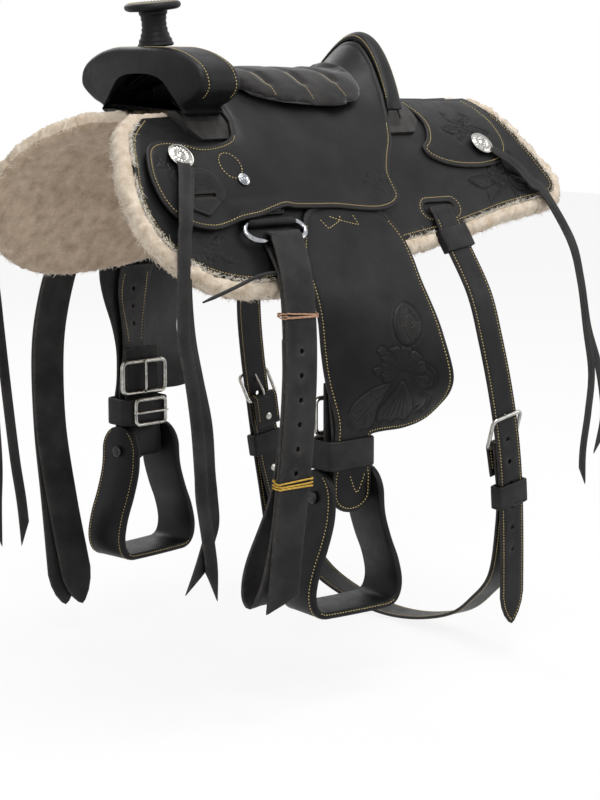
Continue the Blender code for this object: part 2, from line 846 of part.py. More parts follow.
def build_rigging():
    ring = [(DEE_X - RIGGING_W / 2, 0.092), (DEE_X + RIGGING_W / 2 - 0.012, 0.092),
            (DEE_X + RIGGING_W / 2, DEE_TOP - 0.008), (DEE_X - RIGGING_W / 2, DEE_TOP - 0.008)]
    for name, side in SIDES:
        bm = sheet(bmesh.new(), [ring], lines(1, 0.092, 0.155, 0.0126), side_place(side), UNDER_LOW,
                   UNDER_HIGH)
        add_object("rigging_strap_" + name, bm, "leather_black")
        build_dee(name, side)


def dee_point(along, down):
    """Point of the dee's plane: along is X from its middle, down is from its bar."""
    lift = UNDER_LOW + DEE_WIRE + (STRAP_T + 0.0026) * min(1.0, down / DEE_DROP)
    return lay(DEE_X + along, DEE_TOP + down, lift)


def build_dee(name, side):
    half = DEE_WIDTH / 2
    loop = [(-half + 0.005, 0.0), (0.0, 0.0), (half - 0.005, 0.0)]
    for k in range(0, 11):
        a = math.radians(8 + 16.4 * k)
        wide = math.copysign(abs(math.cos(a)) ** 0.35, math.cos(a))
        loop.append((half * wide, 0.004 + (DEE_DROP - 0.004) * math.sin(a) ** 0.35))
    points = [mirrored(dee_point(a, d), side) for a, d in loop]
    dee = add_object("dee_" + name, tube(bmesh.new(), points, DEE_WIRE, 8, True, normal_at(side)), "chrome")
    set_origin(dee, mirrored(dee_point(0.0, 0.0), side))


def wire_fold(x, last):
    """Points of a strap's middle line around the dee's lower wire, from its outer side to last degrees."""
    centre = dee_point(0.0, DEE_DROP)
    reach = DEE_WIRE + 0.0017 + STRAP_T / 2
    normal = Vector((0.0, math.sin(FLANK_ANGLE), math.cos(FLANK_ANGLE)))
    up = Vector((0.0, -math.cos(FLANK_ANGLE), math.sin(FLANK_ANGLE)))
    made = []
    for degrees in (0, 45, 90, 135, last):
        a = math.radians(degrees)
        spot = centre + reach * (math.cos(a) * normal + math.sin(a) * up)
        made.append(Vector((x, spot.y, spot.z)))
    return made


LATIGO_X = -0.119
BILLET_X = -0.128
OUTER = [(-0.118, -0.150, 0.0130), (-0.124, -0.200, 0.0245), (-0.132, -0.260, 0.0320),
         (-0.140, -0.330, 0.0360), (-0.147, -0.400, 0.0360), (-0.152, -0.468, 0.0345)]


def build_latigo():
    fold = wire_fold(LATIGO_X, 180) + wire_fold(LATIGO_X, 208)[-1:]
    step = STRAP_T + 0.0006
    front = [hang(x, z, out) for x, z, out in reversed(OUTER)]
    rear = [hang(x, z, out - step) for x, z, out in OUTER[:-1]]
    loop = [hang(-0.156, -0.440, 0.0300), hang(-0.160, -0.464, 0.0215), hang(-0.163, -0.470, 0.0125),
            hang(-0.163, -0.458, 0.0060), hang(-0.160, -0.430, 0.0060), hang(-0.154, -0.370, 0.0140),
            hang(-0.144, -0.310, 0.0235), hang(-0.134, -0.250, 0.0222), hang(-0.128, -0.210, 0.0175)]
    route = Route(front + fold + rear + loop)
    holes = [LATIGO_FIRST_HOLE + LATIGO_HOLE_PITCH * k for k in range(6)]
    bm = strap(bmesh.new(), route, LATIGO_W, STRAP_T, "slant", "square", holes, -1.0, LATIGO_HOLE)
    latigo = add_object("latigo", bm, "leather_strap")
    set_origin(latigo, mirrored(dee_point(0.0, DEE_DROP), -1.0))


def build_off_billet():
    fold = wire_fold(BILLET_X, 180) + wire_fold(BILLET_X, 208)[-1:] + [hang(-0.130, -0.128, -0.0128)]
    step = STRAP_T + 0.0006
    outer = [hang(-0.137, -0.150, 0.0140), hang(-0.148, -0.200, 0.0250), hang(-0.155, -0.260, 0.0300),
             hang(-0.154, -0.345, 0.0300), hang(-0.149, -0.430, 0.0260), hang(-0.143, -0.552, 0.0200)]
    inner = [p - Vector((0.0, step, 0.0)) for p in outer[:4]]
    inner += [hang(-0.144, -0.430, 0.0215), hang(-0.135, -0.490, 0.0170), hang(-0.124, -0.553, 0.0140)]
    route = Route(outer[::-1] + fold + inner)
    holes = [BILLET_FIRST_HOLE + LATIGO_HOLE_PITCH * k for k in range(6)]
    bm = strap(bmesh.new(), route, LATIGO_W, STRAP_T, "point", "point", holes, 1.0, LATIGO_HOLE)
    billet = add_object("off_billet", bm, "leather_strap")
    set_origin(billet, mirrored(dee_point(0.0, DEE_DROP), 1.0))


def build_band(name, x, z, half, out, deep, tall, tilt, material_name):
    """Flat rubber band round the latigo's layers."""
    wide = Vector((math.cos(tilt), 0.0, math.sin(tilt)))
    up = Vector((-math.sin(tilt), 0.0, math.cos(tilt)))
    across = Vector((0.0, 1.0, 0.0))
    middle = hang(x, z, out - deep / 2)
    loops = []
    for grow in (0.0, BAND_WIRE):
        ring = soft_box(half + grow, deep / 2 + GAP + grow, 20, 0.16)
        loops.append([wide * u + across * v for u, v in ring])
    rings = []
    for loop, way in ((loops[0], -1), (loops[1], -1), (loops[1], 1), (loops[0], 1)):
        rings.append([mirrored(middle + p + up * way * tall / 2, -1.0) for p in loop])
    add_object(name, loft(bmesh.new(), rings, True), material_name)


def build_bands():
    build_band("band_tan", -0.1220, -0.186, 0.0225, 0.0250, 0.0130, 0.0050, 0.03, "rubber_tan")
    build_band("band_yellow", -0.1465, -0.349, 0.0270, 0.0395, 0.0265, 0.0090, 0.10, "rubber_yellow")


# Fenders, stirrup leathers and stirrups

FENDER_SHAPE = [(-66, -88), (-30, -84), (10, -85), (26, -94), (36, -106), (45, -122), (48, -140),
                (49, -180), (51, -230), (52, -268), (47, -288), (33, -303), (10, -311), (-11, -313.5),
                (-20.5, -315.8), (-24.4, -318)]
FENDER_FRONT = [(-75, -320), (-77, -302), (-82, -272), (-90, -235), (-95, -190), (-94, -150), (-84, -112),
                (-74, -94)]
TAIL_HALF = 0.0245
TAIL_END = -0.396
TURN_Z = -0.158
EASE = 0.060


def flare(z):
    """How far the fender turns outward towards its rear edge."""
    return 0.42 * ease((TURN_Z - z) / 0.100) * ease((z - NECK_Z - HOBBLE_H / 2) / 0.060) + yaw_at(z)


def yaw_at(z):
    """Turn of the tail into the stirrup's own plane."""
    return math.tan(STIRRUP_YAW) * ease((NECK_Z - HOBBLE_H / 2 + 0.004 - z) / 0.016)


def fender_face(x, z):
    """Depth y of the fender's inner face at a place of its outline."""
    slope = 1.0 / math.tan(FLANK_ANGLE)
    top_y, top_z = back(PIVOT_DROP, UNDER_LOW)
    y = top_y + (top_z - max(z, TURN_Z)) * slope
    below = TURN_Z - z
    if below > 0:
        end = -0.03
        part = min(below, EASE)
        y += slope * part + (end - slope) * part**2 / (2 * EASE)
        y += end * max(0.0, below - EASE)
    return y + flare(z) * (x - STIRRUP_X)


def fender_place(side):
    def base(x, z):
        return Vector((x, fender_face(x, z), z))

    def place(x, z, h):
        e = 0.001
        across = base(x + e, z) - base(x - e, z)
        down = base(x, z - e) - base(x, z + e)
        return mirrored(base(x, z) + across.cross(down).normalized() * h, side)
    return place


def fender_outline():
    right = [(p.x, p.y) for p in smooth([(x, z, 0.0) for x, z in mm(FENDER_SHAPE)], 0.012)]
    left = [(p.x, p.y) for p in smooth([(x, z, 0.0) for x, z in mm(FENDER_FRONT)], 0.014)]
    tail = [(STIRRUP_X + TAIL_HALF, NECK_Z + 0.010)]
    for k in range(9):
        a = math.radians(-22.5 * k)
        tail.append((STIRRUP_X + TAIL_HALF * math.cos(a), TAIL_END + TAIL_HALF * 0.8 * (1 + math.sin(a))))
    tail.append((STIRRUP_X - TAIL_HALF, NECK_Z + 0.010))
    return right + tail + left


def bolt_centre():
    """Middle of the stirrup bolt, inside the fender's tail."""
    z = TAIL_END + BOLT_DOWN * 0.62
    out = fender_face(STIRRUP_X, z) - 6 * GAP - STRAP_T - SLEEVE_FIT - SLEEVE_R
    return Vector((STIRRUP_X, out, z))


def leather_route():
    """Middle line of the stirrup leather: down inside the fender, round the bolt and up again."""
    centre = bolt_centre()
    reach = SLEEVE_R + SLEEVE_FIT + STRAP_T / 2
    down = []
    z = TURN_Z - 0.010
    while z > centre.z + 0.010:
        slope = (fender_face(STIRRUP_X, z + 0.001) - fender_face(STIRRUP_X, z - 0.001)) / 0.002
        away = (8 * GAP + STRAP_T / 2) * math.sqrt(1 + slope**2 + flare(z) ** 2)
        down.append(Vector((STIRRUP_X, fender_face(STIRRUP_X, z) - away, z)))
        z -= 0.020
    turn = []
    for k in range(7):
        a = math.radians(-30 * k)
        turn.append(centre + Vector((0.0, reach * math.cos(a), reach * math.sin(a))))
    up = [centre + Vector((0.0, -reach, 0.014)), Vector((STIRRUP_X, centre.y - reach + 0.0050, -0.344)),
          Vector((STIRRUP_X, centre.y - reach + 0.0065, -0.322)),
          Vector((STIRRUP_X, centre.y - reach + 0.0065, -0.290)),
          Vector((STIRRUP_X, centre.y - reach + 0.0065, -0.262))]

    def twist(spot):
        return Vector((1.0, flare(spot.z) if spot.y > centre.y else yaw_at(spot.z), 0.0))

    return Route(down + turn + up, 0.016, turns=twist)


def buckle_frame(bm, centre, wide, tall, half_w, half_h, wire, side, sides=8):
    """Rectangular wire frame with round corners; wide and tall are its directions."""
    corner = min(half_w, half_h) * 0.35
    loop = []
    for qx, qy, start in ((1, 1, 0), (-1, 1, 90), (-1, -1, 180), (1, -1, 270)):
        for k in range(3):
            a = math.radians(start + 45 * k)
            x = qx * (half_w - corner) + corner * math.cos(a)
            y = qy * (half_h - corner) + corner * math.sin(a)
            loop.append(mirrored(centre + wide * x + tall * y, side))
    flat = mirrored(wide.cross(tall), side)
    tube(bm, loop, wire, sides, True, flat)


def build_buckle(name, centre, wide, tall, half_w, half_h, wire, side, tongue):
    """Frame with its tongue resting on the far bar; tongue lists points along tall and out."""
    frame = bmesh.new()
    buckle_frame(frame, centre, wide, tall, half_w, half_h, wire, side)
    buckle = add_object(name, frame, "nickel")
    out = wide.cross(tall)
    points = [mirrored(centre + tall * v + out * h, side) for v, h in tongue]
    bar = tube(bmesh.new(), points, wire * 0.65, 6, False, mirrored(wide, side))
    join_with(buckle, add_object(name + "_tongue", bar, "nickel"))


def build_leathers(name, side):
    place = fender_place(side)
    pivot = mirrored(lay(PIVOT_X, PIVOT_DROP, UNDER_LOW), side)
    cuts = lines(1, TAIL_END, -0.150, 0.0130)
    cuts += [(0, STIRRUP_X - 0.022), (0, STIRRUP_X), (0, STIRRUP_X + 0.022)]
    fender = add_object("fender_" + name, sheet(bmesh.new(), [fender_outline()], cuts, place, 0.0, UNDER_T),
                        "leather_black")
    set_origin(fender, pivot)
    upper = [(STIRRUP_X - LEATHER_W / 2, 0.092), (STIRRUP_X + LEATHER_W / 2, 0.092),
             (STIRRUP_X + LEATHER_W / 2, 0.137), (STIRRUP_X - LEATHER_W / 2, 0.137)]
    bm = sheet(bmesh.new(), [upper], lines(1, 0.092, 0.137, 0.011), side_place(side), UNDER_LOW, UNDER_HIGH)
    add_object("leather_upper_" + name, bm, "leather_strap")
    route = leather_route()
    bm = strap(bmesh.new(), route, LEATHER_W, STRAP_T, "square", "square", (), side)
    add_object("stirrup_leather_" + name, bm, "leather_strap")
    centre = bolt_centre()
    reach = SLEEVE_R + SLEEVE_FIT + STRAP_T / 2
    tall = Vector((0.0, 0.0, 1.0))
    face = centre.y - reach + 0.0065 - STRAP_T / 2 - 2 * GAP
    wire = DEE_WIRE * 0.85
    spot = Vector((STIRRUP_X, face - wire, -0.296))
    wide = Vector((1.0, 0.0, 0.0))
    half_h = 0.018
    tongue = [(-half_h, 0.0), (-half_h * 0.7, wire * 1.5), (half_h * 0.6, wire * 1.55), (half_h + 0.002, wire * 1.5)]
    half_w = LEATHER_W / 2 + 0.007
    build_buckle("leather_buckle_" + name, spot, wide, tall, half_w, half_h, wire, side, tongue)
    build_hobble(name, side)


def build_hobble(name, side):
    """Band round the fender's neck and the stirrup leather, with its buckle on the horse's side."""
    outer = fender_face(STIRRUP_X, NECK_Z) + UNDER_T + GAP + 0.0012
    inner = bolt_centre().y - SLEEVE_R - SLEEVE_FIT - STRAP_T - 0.0030
    half = HOBBLE_W / 2 - HOBBLE_T
    middle = Vector((STIRRUP_X - 0.002, (outer + inner) / 2, NECK_Z))
    deep = (outer - inner) / 2
    inner_ring = soft_box(half, deep, 24, 0.22)
    outer_ring = soft_box(half + HOBBLE_T, deep + HOBBLE_T, 24, 0.22)
    bm = bmesh.new()
    rings = []
    for ring, z in ((inner_ring, -1), (outer_ring, -1), (outer_ring, 1), (inner_ring, 1)):
        rings.append([mirrored(middle + Vector((x, y, z * HOBBLE_H / 2)), side) for x, y in ring])
    loft(bm, rings, True)
    add_object("hobble_strap_" + name, bm, "leather_strap")
    wide = Vector((1.0, 0.0, 0.0))
    tall = Vector((0.0, 0.0, 1.0))
    spot = Vector((STIRRUP_X, inner - HOBBLE_T - GAP - BUCKLE_WIRE, NECK_Z))
    lift = BUCKLE_WIRE * 1.5
    tongue = [(-0.021, 0.0), (-0.016, lift), (0.010, lift), (0.0225, lift)]
    build_buckle("hobble_buckle_" + name, spot, -tall, wide, 0.014, 0.021, BUCKLE_WIRE, side, tongue)


def stirrup_line():
    """Middle line of the stirrup in its own plane, from one leg's top to the other's."""
    half = STIRRUP_W / 2 - STIRRUP_T / 2
    top = STIRRUP_TOP_W / 2 - STIRRUP_T / 2
    low = -STIRRUP_H + STIRRUP_T / 2
    right = [(top, 0.0), (top + 0.0005, 0.17 * low), (top + 0.10 * (half - top), 0.34 * low),
             (top + 0.42 * (half - top), 0.52 * low), (top + 0.80 * (half - top), 0.68 * low),
             (half, 0.83 * low), (half * 0.955, 0.935 * low), (half * 0.80, 0.990 * low), (half * 0.5, low)]
    left = [(-x, z) for x, z in reversed(right)]
    return smooth([(x, 0.0, z) for x, z in right + left], 0.0075)


def build_stirrup(name, side):
    line = stirrup_line()
    wide = Vector((math.cos(STIRRUP_YAW), math.sin(STIRRUP_YAW), 0.0))
    deep = Vector((-math.sin(STIRRUP_YAW), math.cos(STIRRUP_YAW), 0.0))
    centre = bolt_centre()
    top = centre + Vector((0.0, 0.0, BOLT_DOWN))
    lengths = [0.0]
    for a, b in zip(line, line[1:]):
        lengths.append(lengths[-1] + (b - a).length)
    rings = []
    radius = STIRRUP_DEPTH / 2
    for i, spot in enumerate(line):
        before = line[max(0, i - 1)]
        after = line[min(len(line) - 1, i + 1)]
        along = (after - before).normalized()
        out = Vector((along.z, 0.0, -along.x))
        above = BOLT_DOWN - min(lengths[i], lengths[-1] - lengths[i])
        half = radius if above <= 0 else math.sqrt(radius**2 - above**2)
        thick = STIRRUP_T / 2
        chamfer = 0.0016
        ring = []
        for d, t in ((half, thick - chamfer), (half - chamfer, thick), (chamfer - half, thick),
                     (-half, thick - chamfer), (-half, chamfer - thick), (chamfer - half, -thick),
                     (half - chamfer, -thick), (half, chamfer - thick)):
            flat = spot + out * t
            ring.append(mirrored(top + wide * flat.x + Vector((0.0, 0.0, flat.z)) + deep * d, side))
        rings.append(ring)
    stirrup = add_object("stirrup_" + name, loft(bmesh.new(), rings), "leather_black")
    reach = STIRRUP_TOP_W / 2
    pin = [mirrored(centre + wide * s * (reach + 0.010), side) for s in (-1, 0, 1)]
    bore = add_object("bolt_bore_" + name, tube(bmesh.new(), pin, BOLT_R + BOLT_FIT, 12), "steel_plain")
    cut_with(stirrup, bore)
    inner = reach - STIRRUP_T - 0.0006
    outer = reach + 0.0022
    profile = [(BOLT_HEAD, -outer - 0.0035), (BOLT_HEAD, -outer), (BOLT_R, -outer), (BOLT_R, -inner),
               (SLEEVE_R, -inner), (SLEEVE_R, inner), (BOLT_R, inner), (BOLT_R, outer), (BOLT_HEAD, outer),
               (BOLT_HEAD, outer + 0.0035)]
    bolt = disc(bmesh.new(), mirrored(centre, side), mirrored(wide, side), profile, 12)
    add_object("stirrup_bolt_" + name, bolt, "steel_plain")
    set_origin(stirrup, mirrored(centre, side))


# Saddle strings

STRINGS = {
    "strings_front_near": (-1.0, FRONT_CONCHO, TRIM_LOW, STRING_W, [
        [(-0.227, 0.140), (-0.237, 0.176), (-0.242, 0.205), (-0.247, -0.185, 0.0060),
         (-0.246, -0.240, 0.0060), (-0.238, -0.320, 0.0010), (-0.230, -0.390, -0.0040),
         (-0.234, -0.466, -0.0060)],
        [(-0.2145, 0.140), (-0.2215, 0.176), (-0.2235, 0.205), (-0.2225, -0.185, 0.0065),
         (-0.219, -0.240, 0.0065), (-0.217, -0.320, 0.0050), (-0.213, -0.390, 0.0030),
         (-0.208, -0.472, -0.0050)]]),
    "strings_front_off": (1.0, FRONT_CONCHO, TRIM_LOW, STRING_W, [
        [(-0.227, 0.140), (-0.236, 0.176), (-0.240, 0.205), (-0.244, -0.185, 0.0060),
         (-0.243, -0.250, 0.0060), (-0.242, -0.370, 0.0010), (-0.247, -0.468, -0.0040)],
        [(-0.2145, 0.140), (-0.2205, 0.176), (-0.2225, 0.205), (-0.2235, -0.185, 0.0060),
         (-0.222, -0.250, 0.0060), (-0.219, -0.370, 0.0020), (-0.214, -0.472, -0.0040)]]),
    "strings_rear_near": (-1.0, REAR_CONCHO, REAR_TOP, STRING_W * 0.8, [
        [(0.250, 0.126), (0.268, 0.146), (0.286, 0.160), (0.296, -0.140, -0.0060),
         (0.306, -0.185, 0.0020), (0.312, -0.240, 0.0060), (0.326, -0.290, 0.0060),
         (0.322, -0.335, 0.0050), (0.315, -0.380, 0.0040), (0.316, -0.420, 0.0030)],
        [(0.262, 0.126), (0.281, 0.146), (0.299, 0.160), (0.311, -0.140, -0.0050),
         (0.321, -0.185, 0.0030), (0.332, -0.235, 0.0070), (0.344, -0.290, 0.0070),
         (0.351, -0.335, 0.0060), (0.337, -0.385, 0.0050)]]),
    "strings_rear_off": (1.0, REAR_CONCHO, REAR_TOP, STRING_W * 0.8, [
        [(0.248, 0.126), (0.264, 0.146), (0.282, 0.160), (0.292, -0.140, -0.0060),
         (0.300, -0.185, 0.0020), (0.306, -0.240, 0.0060), (0.312, -0.300, 0.0060),
         (0.312, -0.360, 0.0040), (0.308, -0.425, 0.0030)],
        [(0.260, 0.126), (0.277, 0.146), (0.295, 0.160), (0.306, -0.140, -0.0060),
         (0.316, -0.185, 0.0020), (0.325, -0.240, 0.0060), (0.334, -0.300, 0.0060),
         (0.330, -0.350, 0.0050), (0.326, -0.400, 0.0040)]]),
}


def string_pair(name, side, concho, layer, width, strands):
    """Both ends of one string, joined by its head under the concho."""
    lift = layer + STRING_T / 2 + STRING_LIFT
    routes = []
    for way, strand in zip((-1, 1), strands):
        shift = way * (width / 2 + STRING_SPLIT)
        points = [lay(concho[0] + shift, concho[1] - 0.006, lift), lay(concho[0] + shift, concho[1] + 0.014, lift)]
        for spot in strand:
            if len(spot) == 2:
                points.append(lay(spot[0], spot[1], lift + 0.0008))
            else:
                points.append(hang(*spot) + Vector((0.0, JOCKEY_T + 0.004, 0.0)))
        routes.append(Route(points))
    full = max(route.length for route in routes)
    edge = width + STRING_SPLIT
    head = 0.018
    end = full - width
    ring = [(0.0, -edge), (full, -edge), (end, -STRING_SPLIT), (head, -STRING_SPLIT),
            (head, STRING_SPLIT), (end, STRING_SPLIT), (full, edge), (0.0, edge)]

    def place(u, w, h):
        route = routes[0] if w < 0 else routes[1]
        middle = math.copysign(edge / 2 + STRING_SPLIT / 2, w)
        return mirrored(route.place(u / full * route.length, w - middle, h), side)

    cuts = lines(0, 0.0, full, 0.019)
    bm = sheet(bmesh.new(), [ring], cuts, place, -STRING_T / 2, STRING_T / 2)
    strings = add_object(name, bm, "leather_strap")
    set_origin(strings, mirrored(lay(concho[0], concho[1], lift), side))


def build_strings():
    for name, (side, concho, layer, width, strands) in STRINGS.items():
        string_pair(name, side, concho, layer, width, strands)


# Flank billets and cinch

FLANK_LINE = [(0.1225, 0.1645, -0.0024), (0.1230, 0.1705, -0.0004), (0.1235, 0.1760, 0.0005), (0.1250, 0.1960, 0.0), (0.1275, 0.2160, 0.0)]
FLANK_FALL = [(0.1330, -0.185, 0.0170), (0.1400, -0.235, 0.0280), (0.1500, -0.290, 0.0340),
              (0.1600, -0.345, 0.0360)]
FLANK_TIP = [(0.1680, -0.400, 0.0350), (0.1770, -0.470, 0.0300), (0.1860, -0.556, 0.0230)]
CINCH_SIDE = [(0.1700, -0.400, 0.0290), (0.1750, -0.440, 0.0240), (0.1830, -0.500, 0.0070),
              (0.1880, -0.535, -0.0250)]
CINCH_UNDER = [(0.1910, -0.560, -0.0600), (0.1930, -0.577, -0.1150)]
CINCH_LOW = (0.1940, -0.583)
BUCKLE_Z = -0.333


def flank_points(side_parts):
    points = [lay(x, t, SKIRT_HIGH + RUB_T + STRAP_T / 2 + extra) for x, t, extra in FLANK_LINE]
    return points + [hang(x, z, out) for x, z, out in side_parts]


def at_height(points, z):
    """Place and direction on a smooth line at the height z."""
    line = smooth(points, 0.004)
    for a, b in zip(line, line[1:]):
        if (a.z - z) * (b.z - z) <= 0 and a.z != b.z:
            return a.lerp(b, (a.z - z) / (a.z - b.z)), (b - a).normalized()
    return line[-1], (line[-1] - line[-2]).normalized()


def keeper_loop(spot, along, deep_in, deep_out, width, tall, side):
    """Leather loop round a strap, its hole along the strap."""
    wide = (Vector((1.0, 0.0, 0.0)) - along * along.x).normalized()
    out = wide.cross(along)
    middle = (deep_out - deep_in) / 2
    reach = (deep_out + deep_in) / 2
    loops = []
    for grow in (0.0, KEEPER_T):
        ring = soft_box(width / 2 + grow, reach + grow, 16, 0.2)
        loops.append([wide * u + out * (middle + v) for u, v in ring])
    rings = []
    for loop, way in ((loops[0], -1), (loops[1], -1), (loops[1], 1), (loops[0], 1)):
        rings.append([mirrored(spot + p + along * way * tall / 2, side) for p in loop])
    return loft(bmesh.new(), rings, True)


def build_flank():
    billet_line = flank_points(FLANK_FALL + FLANK_TIP)
    half = cinch_fold(billet_line) + [hang(*p) for p in CINCH_SIDE + CINCH_UNDER]
    low = Vector((CINCH_LOW[0], 0.0, CINCH_LOW[1]))
    tilt = buckle_axes(billet_line)[2]

    def twist(spot):
        share = ease((spot.z + 0.440) / 0.060)
        return Vector((1.0, 0.0, 0.0)).lerp(mirrored(tilt, math.copysign(1.0, spot.y)), share)

    route = Route([mirrored(p, -1.0) for p in half] + [low] + half[::-1], turns=twist)
    cinch = add_object("flank_cinch", strap(bmesh.new(), route, FLANK_W, STRAP_T), "leather_black")
    axis = lay(FLANK_X, FLANK_SLOT_T, SKIRT_HIGH)
    for name, side in SIDES:
        route = Route(billet_line)
        first = billet_length(route, BUCKLE_Z - 0.010)
        holes = [first + 0.0252 * k for k in range(6)]
        bm = strap(bmesh.new(), route, FLANK_W, STRAP_T, "square", "point", holes, side, BILLET_HOLE)
        billet = add_object("flank_billet_" + name, bm, "leather_black")
        set_origin(billet, mirrored(axis, side))
        spot, along = at_height(billet_line, -0.128)
        loop = keeper_loop(spot, along, STRAP_T / 2 + 0.0005, STRAP_T / 2 + 0.0009, FLANK_W + 0.003,
                           KEEPER_H, side)
        add_object("flank_keeper_" + name, loop, "leather_strap")
        spot, along = at_height(billet_line, -0.405)
        under, _ = at_height([hang(*p) for p in CINCH_SIDE], -0.405)
        deep = (spot - under).length + STRAP_T / 2 - 0.0004
        loop = keeper_loop(spot, along, deep, STRAP_T / 2 + 0.0009, FLANK_W + 0.003, KEEPER_H, side)
        join_with(cinch, add_object("cinch_keeper_" + name, loop, "leather_black"))
        build_flank_buckle(name, side, billet_line)


def billet_length(route, z):
    """Length along a hanging route at which it reaches the height z."""
    u = route.length
    while u > 0 and route.place(u, 0.0, 0.0).z < z:
        u -= 0.001
    return u


def buckle_axes(billet_line):
    """Place on the billet, the way along it and the way out, at the flank buckle."""
    spot, along = at_height(billet_line, BUCKLE_Z)
    wide = (Vector((1.0, 0.0, 0.0)) - along * along.x).normalized()
    return spot, along, wide, wide.cross(along)


FOLD_R = BUCKLE_WIRE + 0.0011 + STRAP_T / 2
HEEL_IN = STRAP_T + 4 * GAP + FOLD_R


def cinch_fold(billet_line):
    """Middle line of the cinch's end, from inside the heel bar round it to the outer side."""
    spot, along, wide, out = buckle_axes(billet_line)
    heel = spot + along * (BUCKLE_H / 2) - out * HEEL_IN
    line = [heel + along * 0.034 - out * FOLD_R, heel + along * 0.016 - out * FOLD_R]
    for degrees in (-90, -45, 0, 45, 90):
        a = math.radians(degrees)
        line.append(heel - along * FOLD_R * math.cos(a) + out * FOLD_R * math.sin(a))
    below, _ = at_height(billet_line, BUCKLE_Z - 0.038)
    return line + [below - out * (STRAP_T + 5 * GAP)]


def build_flank_buckle(name, side, billet_line):
    """Buckle with its upper bar outside the billet and its heel bar inside."""
    spot, along, wide, out = buckle_axes(billet_line)
    above = STRAP_T / 2 + GAP + BUCKLE_WIRE
    half_h = BUCKLE_H / 2
    upper = spot - along * half_h + out * above
    heel = spot + along * half_h - out * HEEL_IN
    tall = (upper - heel).normalized()
    reach = (upper - heel).length / 2
    frame = bmesh.new()
    buckle_frame(frame, (upper + heel) / 2, wide, tall, BUCKLE_W / 2, reach, BUCKLE_WIRE, side)
    buckle = add_object("flank_buckle_" + name, frame, "nickel")
    wire = BUCKLE_WIRE * 0.65
    rest = above + BUCKLE_WIRE + wire * 0.6
    line = [spot - along * (half_h + 0.002) + out * rest, spot + out * (rest - 0.001) - along * half_h * 0.5,
            spot + along * 0.007 + out * (STRAP_T / 2 + 0.0022), spot + along * 0.0098 + out * 0.0010]
    bar = tube(bmesh.new(), [mirrored(p, side) for p in line], wire, 6, False, mirrored(wide, side))
    join_with(buckle, add_object("flank_tongue_" + name, bar, "nickel"))


def main():
    clear_scene()
    material("leather_black", (0.018, 0.017, 0.017), 0.42)
    material("leather_strap", (0.014, 0.013, 0.013), 0.45)
    material("suede_black", (0.020, 0.019, 0.019), 0.85)
    material("fleece_cream", (0.72, 0.62, 0.50), 0.95)
    material("chrome", (0.80, 0.80, 0.80), 0.12, 1.0)
    material("nickel", (0.70, 0.70, 0.68), 0.25, 1.0)
    material("steel_plain", (0.45, 0.45, 0.45), 0.45, 1.0)
    material("wood_pale", (0.55, 0.40, 0.24), 0.70)
    material("rubber_tan", (0.55, 0.26, 0.14), 0.55)
    material("rubber_yellow", (0.75, 0.52, 0.05), 0.50)
    build_skirts()
    build_seat()
    build_tree()
    build_horn()
    build_jockeys()
    build_conchos()
    build_rigging()
    build_latigo()
    build_off_billet()
    build_bands()
    for name, side in SIDES:
        build_leathers(name, side)
        build_stirrup(name, side)
    build_strings()
    build_flank()


main()
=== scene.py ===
"""Looks of the pony saddle: tooled leather, thread, fleece, straps, hardware, floor, light and camera.

Metres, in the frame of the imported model: +Z up, the head end at -X, the near (left) side at -Y. Tables in
mm(...) are written in millimetres.
"""

import math

import bpy
import numpy as np
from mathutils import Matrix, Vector, noise
from mathutils.geometry import delaunay_2d_cdt


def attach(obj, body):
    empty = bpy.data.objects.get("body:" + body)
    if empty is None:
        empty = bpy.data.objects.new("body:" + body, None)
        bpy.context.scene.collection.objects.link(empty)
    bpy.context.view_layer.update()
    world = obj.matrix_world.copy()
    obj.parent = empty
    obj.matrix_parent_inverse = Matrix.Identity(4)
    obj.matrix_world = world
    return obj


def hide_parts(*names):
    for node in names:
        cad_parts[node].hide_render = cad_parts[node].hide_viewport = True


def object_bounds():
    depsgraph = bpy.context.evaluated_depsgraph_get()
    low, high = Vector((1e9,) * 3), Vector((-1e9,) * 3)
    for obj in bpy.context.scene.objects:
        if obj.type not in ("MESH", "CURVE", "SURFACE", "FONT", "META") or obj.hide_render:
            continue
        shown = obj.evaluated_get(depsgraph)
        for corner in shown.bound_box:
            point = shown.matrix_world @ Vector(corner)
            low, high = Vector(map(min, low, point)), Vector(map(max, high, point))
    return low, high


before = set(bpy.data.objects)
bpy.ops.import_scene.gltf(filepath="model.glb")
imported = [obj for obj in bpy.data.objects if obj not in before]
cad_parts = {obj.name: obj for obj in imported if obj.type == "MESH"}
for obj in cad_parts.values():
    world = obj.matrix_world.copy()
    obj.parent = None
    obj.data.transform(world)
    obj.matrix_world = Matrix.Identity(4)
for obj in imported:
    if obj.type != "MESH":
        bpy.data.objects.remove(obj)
CAD_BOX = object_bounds()

# Horse's back, as in the solids
RIDGE_ANGLE = math.radians(12.0)
FLANK_ANGLE = math.radians(62.0)
SHOULDER_ARC = 0.140

# Leather thicknesses and layers
GAP = 0.0003
FLEECE_T = 0.014
SKIRT_T = 0.004
UNDER_T = 0.004
JOCKEY_T = 0.0035
TRIM_T = 0.0025
STRAP_T = 0.0034
RUB_T = 0.0010
SKIRT_LOW = FLEECE_T + GAP
SKIRT_HIGH = SKIRT_LOW + SKIRT_T
UNDER_LOW = SKIRT_HIGH + GAP
UNDER_HIGH = UNDER_LOW + UNDER_T
JOCKEY_LOW = UNDER_HIGH + GAP
TRIM_LOW = JOCKEY_LOW + JOCKEY_T + GAP
REAR_TOP = UNDER_LOW + JOCKEY_T + GAP

